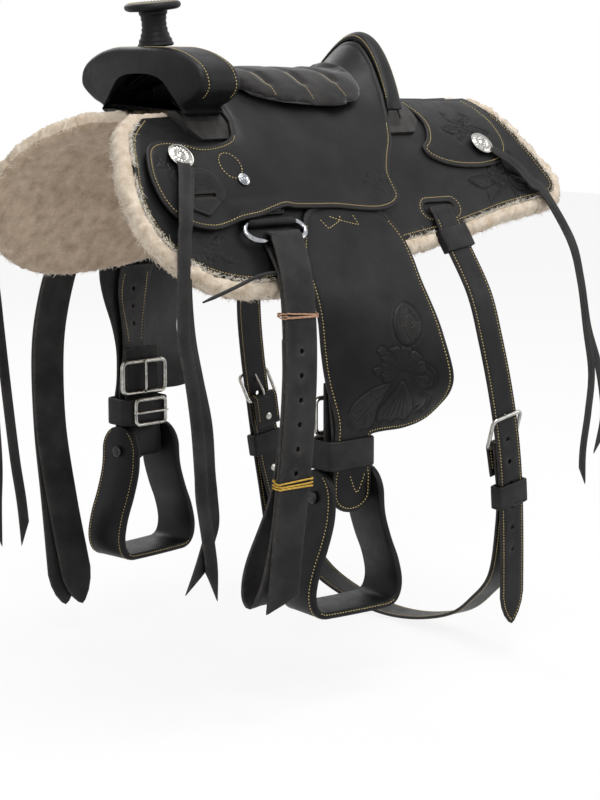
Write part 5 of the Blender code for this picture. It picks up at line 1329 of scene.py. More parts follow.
def build_conchos():
    def flutes(turns, radius):
        share = ease((radius - 0.0042) / 0.002) * ease((0.0122 - radius) / 0.0016)
        return 0.00042 * share * np.abs(np.cos(turns * 8)) ** 0.7

    profile = [(radius * 1.08, height) for radius, height in CONCHO]
    for name, side in SIDES:
        for end, spot, off in (("front", FRONT_CONCHO, TRIM_LOW), ("rear", REAR_CONCHO, REAR_TOP)):
            centre, up = on_layer(spot, side, off + STRING_LIFT + STRING_T + GAP)
            mesh_piece(f"concho_{end}_{name}_face", turned(centre, up, profile, 96, flutes), NICKEL,
                       f"strings_{end}_{name}", [f"concho_{end}_{name}"])
        centre, up = on_layer(SCREW_AT, side, TRIM_LOW + 0.0002)
        mesh_piece("jockey_screw_head_" + name, turned(centre, up, SCREW_HEAD), CHROME, "saddle",
                   ["jockey_screw_" + name])


def dee_point(along, down):
    lift = UNDER_LOW + DEE_WIRE + (STRAP_T + 0.0026) * min(1.0, down / DEE_DROP)
    return lay(DEE_X + along, DEE_TOP + down, lift)


def flank_normal(side):
    return np.array([0.0, side * math.sin(FLANK_ANGLE), math.cos(FLANK_ANGLE)])


def build_rigging():
    half = DEE_WIDTH / 2 + 0.002
    bar = [(-half + 0.0035, 0.0035), (-half + 0.008, 0.0003), (-half + 0.013, 0.0)]
    loop = bar + [(0.0, 0.0)] + [(-a, d) for a, d in reversed(bar)]
    for k in range(11):
        a = math.radians(8 + 16.4 * k)
        wide = math.copysign(abs(math.cos(a)) ** 0.55, math.cos(a))
        loop.append((half * wide, 0.003 + (DEE_DROP - 0.003) * math.sin(a) ** 0.60))
    strap = [(DEE_X - 0.023, 0.092), (DEE_X + 0.011, 0.092), (DEE_X + 0.023, DEE_TOP - 0.008),
             (DEE_X - 0.023, DEE_TOP - 0.008)]
    for name, side in SIDES:
        points = smooth([mirrored(dee_point(a, d), side) for a, d in loop], 0.002, True)
        ring = skin(tube_rings(points, DEE_WIRE, 16, True, flank_normal(side)), True)
        mesh_piece("dee_ring_" + name, ring, CHROME, "dee_" + name, ["dee_" + name])
        hide("rigging_leather_" + name, [strap], side_place(side, UNDER_LOW), UNDER_T,
             ["rigging_strap_" + name], crease=0.003)
        build_sleeve(name, side)


def build_sleeve(name, side):
    """Leather of the rigging turned round the dee's upper bar."""
    rings = []
    c, s = np.cos(turns_of(28))[:, None], np.sin(turns_of(28))[:, None]
    for along in np.linspace(-0.0300, 0.0300, 15):
        middle = lay(DEE_X + along, DEE_TOP, UNDER_LOW + DEE_WIRE)
        up = unit(lay(DEE_X + along, DEE_TOP, UNDER_LOW + DEE_WIRE + 0.001) - middle)
        down = unit(lay(DEE_X + along, DEE_TOP + 0.001, UNDER_LOW + DEE_WIRE) - middle)
        end = min(1.0, (0.0300 - abs(along)) / 0.0012)
        reach = DEE_WIRE + 0.0003 + SLEEVE_T * (0.7 + 0.3 * end)
        rings.append(mirrored(middle + reach * (c * down + s * up), side))
    mesh_piece("rigging_sleeve_" + name, skin(rings), LEATHER, "saddle")


# Latigo and off billet

LATIGO_X = -0.119
BILLET_X = -0.128
LATIGO_W = 0.040
HOLE_PITCH = 0.0240
FOLD_LIFT = 0.003
FOLD_STEP = STRAP_T + 0.0006
LACE_R = 0.0020
LATIGO_OUTER = [(-124.5, -150, 13), (-129, -200, 24.5), (-136, -260, 32), (-145, -330, 35.5),
                (-154.5, -400, 35), (-162, -478, 32.5)]
LATIGO_END = [(-164, -440, 30), (-168, -464, 21.5), (-171, -470, 12.5), (-171, -458, 6), (-166, -430, 7),
              (-146, -370, 17), (-138, -310, 24), (-131, -250, 22.2), (-127, -210, 17.5)]
BILLET_OUTER = [(-143, -552, 20), (-149, -430, 26), (-154, -345, 30), (-155, -260, 30), (-148, -200, 25),
                (-137, -150, 14)]
BILLET_INNER = [(-144, -430, 21.5), (-135, -490, 17), (-124, -553, 14)]
LACE = [(-126, -150, 1), (-136, -145.5, 3), (-148, -144, 5.5), (-158, -144, 7), (-172.5, -146, 8),
        (-195, -153, 8), (-213, -158.5, 7.5), (-229.5, -163.2, 7), (-238, -165.5, 7)]
# Rubber bands: x, z, half width, way out, depth and tilt, then width, height, slope and waver of each turn
BANDS = (("tan", RUBBER_TAN, (-0.1275, -0.186, 0.0208, 0.0250, 0.0130, -0.055),
          mm([(1.5, 1.8, -0.6, 0.5), (1.5, -1.6, 0.8, -0.4), (1.3, 0, 0.6, 0.7)])),
         ("yellow", RUBBER_YELLOW, (-0.1478, -0.349, 0.0212, 0.0388, 0.0108, -0.03),
          mm([(1.8, -3.4, 0.2, 0.2), (1.8, -0.6, 0.6, 0.2), (1.7, 2.8, 1.2, 0.3)])))


def wire_fold(x):
    """Way of a strap round the dee's wire, from outside to inside."""
    centre = dee_point(0.0, DEE_DROP)
    reach = DEE_WIRE + 0.0017 + STRAP_T / 2
    up = np.array([0.0, -math.cos(FLANK_ANGLE), math.sin(FLANK_ANGLE)])
    made = []
    for a in np.radians((0, 45, 90, 135, 180, 208)):
        rise = math.sin(a) * reach + FOLD_LIFT * max(0.0, math.sin(a)) ** 0.5
        made.append((x, *(centre + reach * math.cos(a) * flank_normal(1.0) + rise * up)[1:]))
    return made


def build_latigo():
    route = Route(hung(LATIGO_OUTER[::-1]) + wire_fold(LATIGO_X) + hung(LATIGO_OUTER[:-1], FOLD_STEP)
                  + hung(LATIGO_END), side=-1.0)
    strap_piece("latigo_strap", route, LATIGO_W, ["latigo"], "latigo", start="slant",
                holes=[0.140 + HOLE_PITCH * k for k in range(6)])
    route = Route(hung(BILLET_OUTER) + wire_fold(BILLET_X) + hung([(-130, -128, -12.8)])
                  + hung(BILLET_OUTER[:1:-1], FOLD_STEP) + hung(BILLET_INNER))
    strap_piece("off_billet_strap", route, LATIGO_W, ["off_billet"], "off_billet", start="point", end="point",
                holes=[0.100 + HOLE_PITCH * k for k in range(6)])
    for name, material, at, turns in BANDS:
        band_turns(name, material, *at, turns)
    line = mirrored(smooth(hung(LACE), 0.002), -1.0)
    radii = LACE_R * np.interp(np.linspace(0, 1, len(line)), [0.0, 0.9, 1.0], [1.0, 0.9, 0.45])
    mesh_piece("latigo_tie", skin(tube_rings(line, radii, 12)), STRAP, "latigo")


def band_turns(name, material, x, z, half, out, deep, tilt, turns):
    """Rubber band stretched round the latigo in several turns."""
    wide = np.array([math.cos(tilt), 0.0, math.sin(tilt)])
    up = np.array([-math.sin(tilt), 0.0, math.cos(tilt)])
    middle = np.array((x, HANG_Y + out - deep / 2, z))
    ring = soft_box(half + 0.0006, deep / 2 + 0.0009, 64, 0.16)
    parts = []
    for tall, lift, slope, waver in turns:
        rise = (lift + slope * ring[:, 0] / half * np.sign(ring[:, 1])
                + waver * np.sin(turns_of(64) * 3 + lift * 900))
        flat = ring[:, :1] * wide + ring[:, 1:] * Y_AXIS
        rings = [mirrored([middle + c + r * up + unit(c) * (0.00055 * math.cos(a))
                           + up * (tall / 2 * math.sin(a))
                           for a in turns_of(10)], -1.0) for c, r in zip(flat, rise)]
        parts.append(skin(rings, True))
    mesh_piece(f"band_{name}_turns", gather(parts), material, "latigo", ["band_" + name])


# Fenders, stirrup leathers and stirrups

PIVOT_DROP = 0.178
LEATHER_W = 0.046
NECK_Z = -0.3345
STIRRUP_X = -0.049
HOBBLE_H = 0.030
HOBBLE_W = 0.064
HOBBLE_T = 0.003
TAIL_HALF = 0.0245
TAIL_END = -0.396
TURN_Z = -0.158
EASE = 0.060
STIRRUP_W = 0.118
STIRRUP_TOP_W = 0.068
STIRRUP_H = 0.150
STIRRUP_DEPTH = 0.057
STIRRUP_T = 0.0075
STIRRUP_YAW = math.radians(6.0)
BOLT_R = 0.0035
SLEEVE_R = 0.006
SLEEVE_FIT = 0.0009
BOLT_HEAD = 0.0065
BOLT_DOWN = 0.0280
BUCKLE_WIRE = 0.0022
FENDER_SHAPE = [(-66, -88), (-30, -84), (10, -85), (29, -94), (41, -106), (50, -121), (54, -138), (55, -156),
                (54, -180), (50, -228), (53, -262), (57, -286), (55, -303), (43, -312), (20, -316.5),
                (-5, -316.5), (-19, -317), (-24.4, -318)]
FENDER_FRONT = [(-73.5, -322), (-71, -302), (-74, -275), (-81, -240), (-90, -205), (-97, -170), (-97, -140),
                (-84, -110), (-74, -94)]
FENDER_MARKS = ([(-57, -100.4), (-49.2, -110.1), (-30.6, -103.3), (-28.5, -98)],
                [(-43.4, -98.2), (-30.4, -102.8), (-6.5, -108.6), (-10.7, -98)])
# Sections of the bands: share of the thickness, share of half the height
HOBBLE_EDGE = [(0.0, -0.90), (0.25, -1.0), (0.75, -1.0), (1.0, -0.90), (1.0, -0.82), (0.92, -0.79),
               (1.0, -0.76)]
KEEPER_EDGE = [(0.0, -0.92), (0.3, -1.0), (0.7, -1.0), (1.0, -0.92), (1.0, -0.80), (0.9, -0.76), (1.0, -0.72)]


def flare(z):
    return 0.42 * ease((TURN_Z - z) / 0.100) * ease((z - NECK_Z - HOBBLE_H / 2) / 0.060) + yaw_at(z)


def yaw_at(z):
    return math.tan(STIRRUP_YAW) * ease((NECK_Z - HOBBLE_H / 2 + 0.004 - z) / 0.016)


def fender_face(x, z):
    """Depth y of the fender's inner face at a place of its outline."""
    slope = 1.0 / math.tan(FLANK_ANGLE)
    top_y, top_z = back(PIVOT_DROP, UNDER_LOW)
    y = top_y + (top_z - np.maximum(z, TURN_Z)) * slope
    below = np.maximum(TURN_Z - z, 0.0)
    end = -0.03
    part = np.minimum(below, EASE)
    y = y + slope * part + (end - slope) * part**2 / (2 * EASE) + end * np.maximum(0.0, below - EASE)
    return y + flare(z) * (x - STIRRUP_X)


def fender_place(side):
    def base(x, z):
        return points_of(x, fender_face(x, z), z)

    def place(x, z, h):
        e = 0.001
        x, z = np.asarray(x, float), np.asarray(z, float)
        normal = unit(np.cross(base(x + e, z) - base(x - e, z), base(x, z - e) - base(x, z + e)))
        return mirrored(base(x, z) + normal * np.broadcast_to(h, x.shape)[..., None], side)
    return place


def fender_outline():
    neck = NECK_Z + 0.010
    tail = [(STIRRUP_X + TAIL_HALF, neck)]
    for a in np.radians(-11.25 * np.arange(17)):
        tail.append((STIRRUP_X + TAIL_HALF * math.cos(a), TAIL_END + TAIL_HALF * 0.8 * (1 + math.sin(a))))
    tail.append((STIRRUP_X - TAIL_HALF, neck))
    return np.vstack([smooth(mm(FENDER_SHAPE), 0.004), tail, smooth(mm(FENDER_FRONT), 0.004)])


def bolt_centre():
    z = TAIL_END + BOLT_DOWN * 0.62
    out = float(fender_face(STIRRUP_X, z)) - 6 * GAP - STRAP_T - SLEEVE_FIT - SLEEVE_R
    return np.array([STIRRUP_X, out, z])


def leather_route(side):
    """Stirrup leather: down inside the fender, round the bolt's sleeve and up to its buckle."""
    centre = bolt_centre()
    reach = SLEEVE_R + SLEEVE_FIT + STRAP_T / 2
    line = []
    z = TURN_Z - 0.010
    while z > centre[2] + 0.010:
        slope = float(fender_face(STIRRUP_X, z + 0.001) - fender_face(STIRRUP_X, z - 0.001)) / 0.002
        away = (8 * GAP + STRAP_T / 2) * math.sqrt(1 + slope**2 + float(flare(z)) ** 2)
        line.append((STIRRUP_X, float(fender_face(STIRRUP_X, z)) - away, z))
        z -= 0.020
    line += [tuple(centre + (0.0, *(reach * direction(math.radians(-30 * k))))) for k in range(7)]
    y = centre[1] - reach
    line += [(STIRRUP_X, y, centre[2] + 0.014), (STIRRUP_X, y + 0.0050, -0.344)]
    line += [(STIRRUP_X, y + 0.0065, z) for z in (-0.322, -0.290, -0.262)]

    def twist(spot):
        return (1.0, float(flare(spot[2]) if spot[1] > centre[1] else yaw_at(spot[2])), 0.0)

    return Route(line, twist, side)


def build_buckle(name, body, centre, wide, tall, half_w, half_h, wire, side, tongue):
    """Wire buckle with round corners, a tongue given as (up, out) and the tongue's collar."""
    out = np.cross(wide, tall)
    corner = min(half_w, half_h) * 0.35
    loop = [centre + wide * a + tall * b for a, b in corners(half_w, half_h, corner, 7)]
    loop = densified(mirrored(loop, side), 0.004)
    parts = [skin(tube_rings(loop, wire, 14, True, mirrored(out, side)), True)]
    points = smooth([mirrored(centre + tall * v + out * h, side) for v, h in tongue], 0.0015)
    radii = wire * 0.66 * np.interp(np.linspace(0, 1, len(points)), [0.0, 0.8, 1.0], [1.0, 0.95, 0.62])
    parts.append(skin(tube_rings(points, radii, 12, False, mirrored(wide, side))))
    collar = [mirrored(centre + tall * tongue[0][0] + wide * s, side)
              for s in (-0.0022, -0.0008, 0.0008, 0.0022)]
    parts.append(skin(tube_rings(collar, wire * np.array([1.20, 1.32, 1.32, 1.20]), 14, False,
                                 mirrored(out, side))))
    place = "_near" if side < 0 else "_off"
    mesh_piece(f"{name}_frame{place}", gather(parts), NICKEL, body, [name + place])


def build_fenders():
    outline = fender_outline()
    carving = fender_carving()
    tail = [(STIRRUP_X + 0.006 + s * 0.0095, z) for s, z in ((-1, -0.357), (-0.3, -0.373), (0, -0.376),
                                                             (0.3, -0.373), (1, -0.357))]
    for name, side in SIDES:
        body = "fender_" + name
        place = fender_place(side)
        hide("fender_leather_" + name, [outline], place, UNDER_T, ["fender_" + name], body=body,
             groove=STITCH_IN, relief=carving.relief(), zones=[carving.zone(0.0010)])
        for run in inner_line(outline, STITCH_IN, lambda u, w: w < -0.105):
            sew_on(body, run, place, UNDER_T - 0.0002)
        for mark in [mm(mark) for mark in FENDER_MARKS] + [tail]:
            sew_on(body, mark, place, UNDER_T)
        build_leather(name, side, body)
        build_hobble(name, side, body)
        build_stirrup(name, side)


def build_leather(name, side, body):
    """Stirrup leather with its buckle, and the sewn stretch that shows inside the fender."""
    route = leather_route(side)
    strap_piece("stirrup_leather_strap_" + name, route, LEATHER_W, ["stirrup_leather_" + name], body,
                holes=[0.030 + 0.020 * k for k in range(3)], hole_r=0.0024)
    u = np.linspace(0.010, 0.090, 60)
    for way in (-1, 1):
        w = way * (0.0165 + 0.0030 * np.sin((u - 0.01) / 0.080 * math.pi * 1.3))
        line = route.place(u, w, np.full(60, -STRAP_T / 2))
        sew(body, line, route.place(u, w, np.full(60, -STRAP_T)) - line)
    half = LEATHER_W / 2
    upper = [(STIRRUP_X + way * half, t) for way, t in ((-1, 0.092), (1, 0.092), (1, 0.137), (-1, 0.137))]
    hide("leather_upper_strap_" + name, [upper], side_place(side, UNDER_LOW), UNDER_T,
         ["leather_upper_" + name], STRAP, crease=0.0026)
    wire = DEE_WIRE * 0.85
    face = bolt_centre()[1] - SLEEVE_R - SLEEVE_FIT - STRAP_T + 0.0065 - 2 * GAP
    high = 0.018
    tongue = [(-high, 0.0), (-high * 0.7, wire * 1.5), (high * 0.6, wire * 1.55), (high + 0.002, wire * 1.5)]
    build_buckle("leather_buckle", body, np.array([STIRRUP_X, face - wire, -0.296]), X_AXIS, Z_AXIS,
                 half + 0.007, high, wire, side, tongue)


def build_hobble(name, side, body):
    outer = float(fender_face(STIRRUP_X, NECK_Z)) + UNDER_T + GAP + 0.0012
    inner = bolt_centre()[1] - SLEEVE_R - SLEEVE_FIT - STRAP_T - 0.0030
    middle = np.array([STIRRUP_X - 0.002, (outer + inner) / 2, NECK_Z])
    deep = (outer - inner) / 2
    half = HOBBLE_W / 2 - HOBBLE_T
    rings = banded(soft_box(half, deep, 96, 0.30), soft_box(half + HOBBLE_T, deep + HOBBLE_T, 96, 0.34),
                   HOBBLE_EDGE,
                   lambda p, rise: middle + (*p, rise * HOBBLE_H / 2))
    mesh_piece("hobble_band_" + name, skin(mirrored(rings, side), True), STRAP, body,
               ["hobble_strap_" + name])
    lift = BUCKLE_WIRE * 1.5
    build_buckle("hobble_buckle", body, np.array([STIRRUP_X, inner - HOBBLE_T - GAP - BUCKLE_WIRE, NECK_Z]),
                 -Z_AXIS, X_AXIS, 0.014, 0.021, BUCKLE_WIRE, side,
                 [(-0.021, 0.0), (-0.016, lift), (0.010, lift), (0.0225, lift)])


def stirrup_line():
    half = STIRRUP_W / 2 - STIRRUP_T / 2
    top = STIRRUP_TOP_W / 2 - STIRRUP_T / 2
    low = -STIRRUP_H + STIRRUP_T / 2
    right = [(top + across * (half - top), down * low)
             for across, down in ((0.0, 0.0), (0.02, 0.17), (0.10, 0.34), (0.42, 0.52), (0.80, 0.68))]
    right += [(half * across, down * low)
              for across, down in ((1, 0.83), (0.955, 0.935), (0.80, 0.990), (0.5, 1))]
    return smooth(right + [(-x, z) for x, z in reversed(right)], 0.0026)


def build_stirrup(name, side):
    """Leather-covered stirrup: rounded edges, a seam of thread near each edge and its bolt."""
    line = stirrup_line()
    run = run_of(line)
    along = unit(np.gradient(line, axis=0))
    out = -left_of(along)
    wide = np.array([math.cos(STIRRUP_YAW), math.sin(STIRRUP_YAW), 0.0])
    deep = np.cross(Z_AXIS, wide)
    centre = bolt_centre()
    top = centre + BOLT_DOWN * Z_AXIS
    radius, thick = STIRRUP_DEPTH / 2, STIRRUP_T / 2

    def lifted(flat, across):
        return top + flat[..., :1] * wide + flat[..., 1:] * Z_AXIS + np.multiply.outer(across, deep)

    above = np.maximum(BOLT_DOWN - np.minimum(run, run[-1] - run), 0.0)
    widths = np.sqrt(np.maximum(radius**2 - above**2, 1e-6))
    rings = []
    for spot, way, half in zip(line, out, widths):
        section = np.array(corners(half, thick, 0.0024, 4))
        rings.append(mirrored(lifted(spot + section[:, 1:] * way, section[:, 0]), side))
    body = "stirrup_" + name
    mesh_piece("stirrup_cover_" + name, skin(rings), LEATHER, body, ["stirrup_" + name])
    face = out * np.sign((out * (line - line.mean(axis=0))).sum(axis=1))[:, None]
    kept = (run > 0.0045) & (run < run[-1] - 0.0045)
    low = kept & (np.abs(line[:, 0]) < 0.050) & (line[:, 1] < -0.13)
    for way in (-1, 1):
        path = lifted(line + face * (thick + 0.0001), way * (widths - 0.0045))
        sew(body, mirrored(path[kept], side), mirrored(lifted(face, np.zeros(len(face))) - top, side)[kept])
    for way in (-1, 1):
        path = lifted(line - face * thick * 0.35, way * (widths + 0.0001))
        sew(body, mirrored(path[low], side), mirrored(np.tile(way * deep, (int(low.sum()), 1)), side))
    inner = STIRRUP_TOP_W / 2 - STIRRUP_T - 0.0006
    outer = STIRRUP_TOP_W / 2 + 0.0022
    half = [(BOLT_HEAD * share, outer + rise)
            for share, rise in ((0.7, 0.0034), (0.95, 0.0024), (1, 0.0012), (1, 0.0))]
    half = [(0.0015, outer + 0.0036)] + half + [(BOLT_R, outer), (BOLT_R, inner), (SLEEVE_R, inner)]
    profile = [(r, -at) for r, at in half] + half[::-1]
    rod = turned(mirrored(centre, side), mirrored(wide, side), profile, 32)
    mesh_piece("stirrup_bolt_rod_" + name, rod, STEEL, body, ["stirrup_bolt_" + name], smoothed=False)


# Saddle strings

# Side, concho, layer, width and how far the front strand lies above, then each strand's places in
# millimetres: (x, distance from the ridge) on the leather, and (x, z, way out) where it hangs
STRINGS = {
    "strings_front_near": (-1.0, FRONT_CONCHO, TRIM_LOW, 0.0150, 0.0034, [
        [(-213.5, 115.5), (-223.3, 135.1), (-231.2, 154.8), (-237.1, 170.1), (-240, -104.1, -25),
         (-243, -116.9, -21.5), (-246.2, -135.5, -18.5), (-249.9, -170.2, -15), (-251.6, -204.2, -12),
         (-246.1, -240, -9.5), (-241.2, -284.8, -7), (-238.6, -329.9, -5.5), (-238.3, -353.3, -4.5),
         (-235.5, -375.3, -3.5), (-232, -397.6, -3), (-228.6, -428.8, -2), (-229.6, -460, -1.5)],
        [(-209, 115), (-218.7, 134), (-227.2, 153.6), (-233.8, 168.9), (-236.9, -104.5, -28),
         (-239.4, -117.4, -25), (-241.9, -136.1, -22.2), (-243.5, -171, -18.5), (-242, -205.4, -15.5),
         (-235.9, -241.5, -13), (-227.2, -287, -10.5), (-225.1, -332.3, -9), (-222.9, -356.2, -8.5),
         (-221.8, -382.1, -7.5), (-227.4, -399, -7), (-239.4, -427.8, -6.5), (-251.6, -452.5, -6)]]),
    "strings_front_off": (1.0, FRONT_CONCHO, TRIM_LOW, 0.0125, 0.0036, [
        [(-212.5, 112), (-221, 134), (-230, 158), (-236.5, 180), (-242, 205), (-245, -150, 7),
         (-243, -200, 6.5), (-241, -280, 4), (-238, -370, 1), (-242, -420, -2), (-244, -466, -4)],
        [(-206.5, 112), (-215, 134), (-223.5, 158), (-229, 180), (-234, 205), (-236.5, -150, 3),
         (-232.5, -200, 3), (-225, -280, 2), (-216, -370, 0), (-209, -420, -1), (-206, -469, -4)]]),
    "strings_rear_near": (-1.0, REAR_CONCHO, REAR_TOP, 0.0105, 0.0030, [
        [(237, 113), (256, 128), (270, 148), (284, 160), (296, -140, -5), (306, -185, 2.5), (314, -240, 6),
         (324.5, -290, 6), (321.5, -335, 5), (315, -380, 4), (316, -420, 3)],
        [(240, 110), (260, 124), (275, 144), (289, 158), (301, -138, -8.5), (311, -183, -1.5), (321, -238, 2),
         (338, -280, 3), (347.5, -315, 3.5), (350, -345, 4), (339, -387, 4)]]),
    "strings_rear_off": (1.0, REAR_CONCHO, REAR_TOP, 0.0105, 0.0030, [
        [(237, 113), (255, 128), (268, 148), (281, 160), (292, -140, -5), (299, -185, 2.5), (305, -240, 6),
         (311, -300, 6), (311, -360, 4), (308, -425, 3)],
        [(240, 110), (259, 124), (273, 144), (286, 158), (297, -138, -8.5), (306, -185, -1.5), (316, -240, 2),
         (329, -300, 3), (328, -350, 3.5), (324, -400, 3)]]),
}


def build_strings():
    """Pairs of thongs, the front one of each pair lying on the other where they leave the concho."""
    for name, (side, concho, layer, width, over, strands) in STRINGS.items():
        middle = layer + STRING_T / 2 + STRING_LIFT
        for strand, part, lift, corner in zip(strands, ("front", "back"), (over, 0.0006), (2, 3)):
            points = [lay(concho[0], concho[1] - 0.004, middle)]
            points += [lay(*spot, middle + lift) for spot in mm(spot for spot in strand if len(spot) == 2)]
            points += hung([spot for spot in strand if len(spot) == 3], -JOCKEY_T - 0.004)
            route = Route(points, side=side)
            ring = strap_outline(route.length, width)
            ring[corner] = (route.length - width * 2.0, ring[corner][1])
            hide(f"{name}_{part}", [ring], route.laid(STRING_T), STRING_T, [name] if part == "front" else (),
                 STRAP, name, crease=0.0018, step=0.0035)


# Flank billets, buckles and cinch

FLANK_W = 0.036
KEEPER_T = 0.0026
KEEPER_H = 0.026
BUCKLE_W = 0.044
BUCKLE_H = 0.032
FLANK_LINE = mm([(122.5, 164.5, -2.4), (123, 170.5, -0.4), (123.5, 176, 0.5), (125, 196, 0), (127.5, 216, 0)])
FLANK_FALL = [(133, -185, 17), (140, -235, 28), (150, -290, 34), (160, -345, 36), (168, -400, 35),
              (177, -470, 30), (186, -556, 23)]
CINCH_SIDE = [(170, -400, 29), (175, -440, 24), (183, -500, 7), (188, -535, -25), (191, -560, -60),
              (193, -577, -115)]
CINCH_LOW = (0.1940, 0.0, -0.583)
BUCKLE_Z = -0.333
FOLD_R = BUCKLE_WIRE + 0.0011 + STRAP_T / 2
HEEL_IN = STRAP_T + 4 * GAP + FOLD_R
RIVET = mm([(3, -0.4), (4.4, 0), (4.5, 0.5), (4, 1), (2.8, 1.4), (0.6, 1.6)])
BILLET_LINE = [lay(x, t, SKIRT_HIGH + RUB_T + STRAP_T / 2 + extra)
               for x, t, extra in FLANK_LINE] + hung(FLANK_FALL)


def at_height(points, z):
    """Place and directions (along, wide, out) of a line where it comes down to height z."""
    line = smooth(points, 0.001)
    k = int(np.argmax(line[:, 2] <= z))
    a, b = line[k - 1:k + 1]
    along = unit(b - a)
    wide = unit(X_AXIS - along * along[0])
    return a + (b - a) * (a[2] - z) / (a[2] - b[2]), along, wide, np.cross(wide, along)


def keeper(z, deep_in, side):
    """Leather loop round a flank billet."""
    spot, along, wide, out = at_height(BILLET_LINE, z)
    deep_out = STRAP_T / 2 + 0.0009
    half, reach = (FLANK_W + 0.003) / 2, (deep_out + deep_in) / 2
    middle = spot + out * (deep_out - deep_in) / 2
    rings = banded(soft_box(half, reach, 64, 0.2), soft_box(half + KEEPER_T, reach + KEEPER_T, 64, 0.2),
                   KEEPER_EDGE,
                   lambda p, rise: middle + wide * p[0] + out * p[1] + along * rise * KEEPER_H / 2)
    return skin(mirrored(rings, side), True)


def cinch_fold():
    """Turned-back end of the cinch, round the lower bar of its buckle."""
    spot, along, _, out = at_height(BILLET_LINE, BUCKLE_Z)
    heel = spot + along * (BUCKLE_H / 2) - out * HEEL_IN
    line = [heel + along * 0.034 - out * FOLD_R, heel + along * 0.016 - out * FOLD_R]
    for a in np.radians((-90, -45, 0, 45, 90)):
        line.append(heel - along * FOLD_R * math.cos(a) + out * FOLD_R * math.sin(a))
    return line + [at_height(BILLET_LINE, BUCKLE_Z - 0.038)[0] - out * (STRAP_T + 5 * GAP)]


def build_flank():
    half = cinch_fold() + hung(CINCH_SIDE)
    tilt = at_height(BILLET_LINE, BUCKLE_Z)[2]

    def twist(spot):
        share = float(ease((spot[2] + 0.440) / 0.060))
        return X_AXIS * (1 - share) + mirrored(tilt, math.copysign(1.0, spot[1])) * share

    route = Route([mirrored(p, -1.0) for p in half] + [CINCH_LOW] + half[::-1], twist)
    strap_piece("flank_cinch_strap", route, FLANK_W, ["flank_cinch"], "flank", LEATHER, sewn=0.0036,
                plain=(0.006, 0.006))
    keepers = []
    for name, side in SIDES:
        route = Route(BILLET_LINE, side=side)
        first = route.run[np.argmax(route.line[:, 2] < BUCKLE_Z - 0.010)]
        strap_piece("flank_billet_strap_" + name, route, FLANK_W, ["flank_billet_" + name], "flank", LEATHER,
                    end="point", holes=[first + 0.0252 * k for k in range(6)], sewn=0.0036,
                    plain=(0.014, 0.0))
        mesh_piece("flank_keeper_loop_" + name, keeper(-0.128, STRAP_T / 2 + 0.0005, side), STRAP, "flank",
                   ["flank_keeper_" + name])
        low = -0.405
        gap = np.linalg.norm(at_height(BILLET_LINE, low)[0] - at_height(hung(CINCH_SIDE[:4]), low)[0])
        keepers.append(keeper(low, gap + STRAP_T / 2 - 0.0004, side))
        build_flank_buckle(side)
        build_rivets(name, side)
    mesh_piece("cinch_keeper_loops", gather(keepers), STRAP, "flank")


def build_rivets(name, side):
    """Two nickel rivets through the turned-back end of the cinch, on the horse's side of it."""
    spot, along, _, out = at_height(BILLET_LINE, BUCKLE_Z)
    fold = spot + along * (BUCKLE_H / 2 + 0.022) - out * (HEEL_IN + FOLD_R)
    strap, _, _, away = at_height(hung(CINCH_SIDE[:4]), -0.437)
    parts = [turned(mirrored(centre + up * STRAP_T / 2, side), mirrored(up, side), RIVET, 28)
             for centre, up in ((fold, -out), (strap, -away))]
    mesh_piece("cinch_rivets_" + name, gather(parts), NICKEL, "flank")


def build_flank_buckle(side):
    spot, along, wide, out = at_height(BILLET_LINE, BUCKLE_Z)
    upper = spot - along * BUCKLE_H / 2 + out * (STRAP_T / 2 + GAP + BUCKLE_WIRE)
    heel = spot + along * BUCKLE_H / 2 - out * HEEL_IN
    reach = np.linalg.norm(upper - heel) / 2
    lift = BUCKLE_WIRE * 1.5
    tongue = [(-reach, 0.0), (-reach * 0.6, lift + 0.0030), (reach * 0.5, lift + 0.0006),
              (reach + 0.001, lift)]
    build_buckle("flank_buckle", "flank", (upper + heel) / 2, wide, unit(upper - heel), BUCKLE_W / 2, reach,
                 BUCKLE_WIRE, side, tongue)


# Floor, light and camera

def placed(name, data, spot, turn=(0.0, 0.0, 0.0)):
    made = bpy.data.objects.new(name, data)
    made.location = spot
    made.rotation_euler = turn
    bpy.context.scene.collection.objects.link(made)
    return made


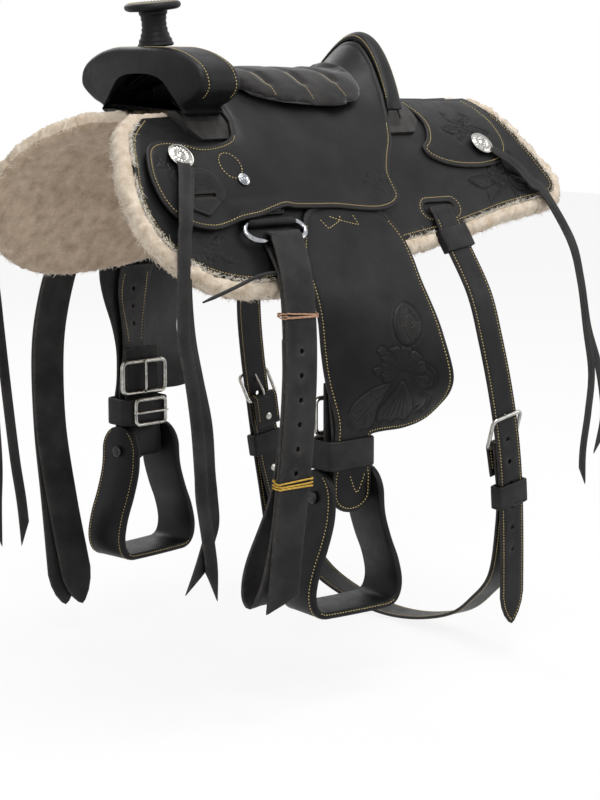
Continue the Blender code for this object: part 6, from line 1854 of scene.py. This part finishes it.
def build_stage():
    mesh = bpy.data.meshes.new("floor")
    z = CAD_BOX[0][2] - FLOOR_GAP
    mesh.from_pydata([(x * FLOOR_HALF, y * FLOOR_HALF, z) for x, y in ((-1, -1), (1, -1), (1, 1), (-1, 1))],
                     [], [(0, 1, 2, 3)])
    look = bpy.data.materials.new("floor_pale")
    look.use_nodes = True
    n = Nodes(look.node_tree)
    surface = n.nodes["Principled BSDF"]
    n.set(surface, {"Base Color": (0.94, 0.94, 0.94, 1.0), "Roughness": 0.9})
    glow = n.add("Emission")
    rays = n.add("LightPath").outputs
    seen = n.math("MAXIMUM", rays["Is Camera Ray"], rays["Is Glossy Ray"])
    mix = n.add("MixShader", {"Fac": n.math("MULTIPLY", seen, FLOOR_GLOW), 1: surface.outputs["BSDF"],
                              2: glow.outputs["Emission"]})
    n.set(n.nodes["Material Output"], {"Surface": mix.outputs["Shader"]})
    mesh.materials.append(look)
    placed("floor", mesh, (0.0, 0.0, 0.0))


def build_light():
    world = bpy.data.worlds.new("studio")
    bpy.context.scene.world = world
    world.use_nodes = True
    n = Nodes(world.node_tree)
    plain = n.nodes["Background"]
    n.set(plain, {"Color": (1.0, 1.0, 1.0, 1.0), "Strength": WORLD_STRENGTH})
    white = n.add("Background", {"Color": (1.0, 1.0, 1.0, 1.0)})
    rays = n.add("LightPath").outputs
    seen = n.math("MAXIMUM", rays["Is Camera Ray"], rays["Is Transmission Ray"])
    mix = n.add("MixShader", {"Fac": n.math("MAXIMUM", seen, rays["Is Glossy Ray"]),
                              1: plain.outputs["Background"], 2: white.outputs["Background"]})
    n.set(n.nodes["World Output"], {"Surface": mix.outputs["Shader"]})
    for name, spot, size, power in LAMPS:
        lamp = bpy.data.lights.new(name, "AREA")
        lamp.shape = "DISK"
        lamp.size = size
        lamp.energy = power
        placed(name, lamp, spot, (Vector(LIT) - Vector(spot)).to_track_quat("-Z", "Y").to_euler())


def build_camera():
    camera = bpy.data.cameras.new("camera")
    camera.sensor_fit = "AUTO"
    camera.sensor_width = SENSOR
    camera.lens = FOCAL_PIXELS * SENSOR / IMAGE_LONG_SIDE
    turn = (math.pi / 2 - CAMERA_DIP, 0.0, -CAMERA_TURN)
    bpy.context.scene.camera = placed("camera", camera, CAMERA_AT, turn)


bpy.context.scene.view_settings.view_transform = "Standard"
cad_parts["tree"].data.materials.clear()
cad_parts["tree"].data.materials.append(RAWHIDE)
build_camera()
build_skirts()
build_seat()
build_swell()
build_horn()
build_cantle()
build_conchos()
build_rigging()
build_latigo()
build_fenders()
build_strings()
build_flank()
for sewn_body, stitches in THREADS.items():
    mesh_piece("thread_" + sewn_body, gather(stitches), THREAD, sewn_body)
build_stage()
build_light()
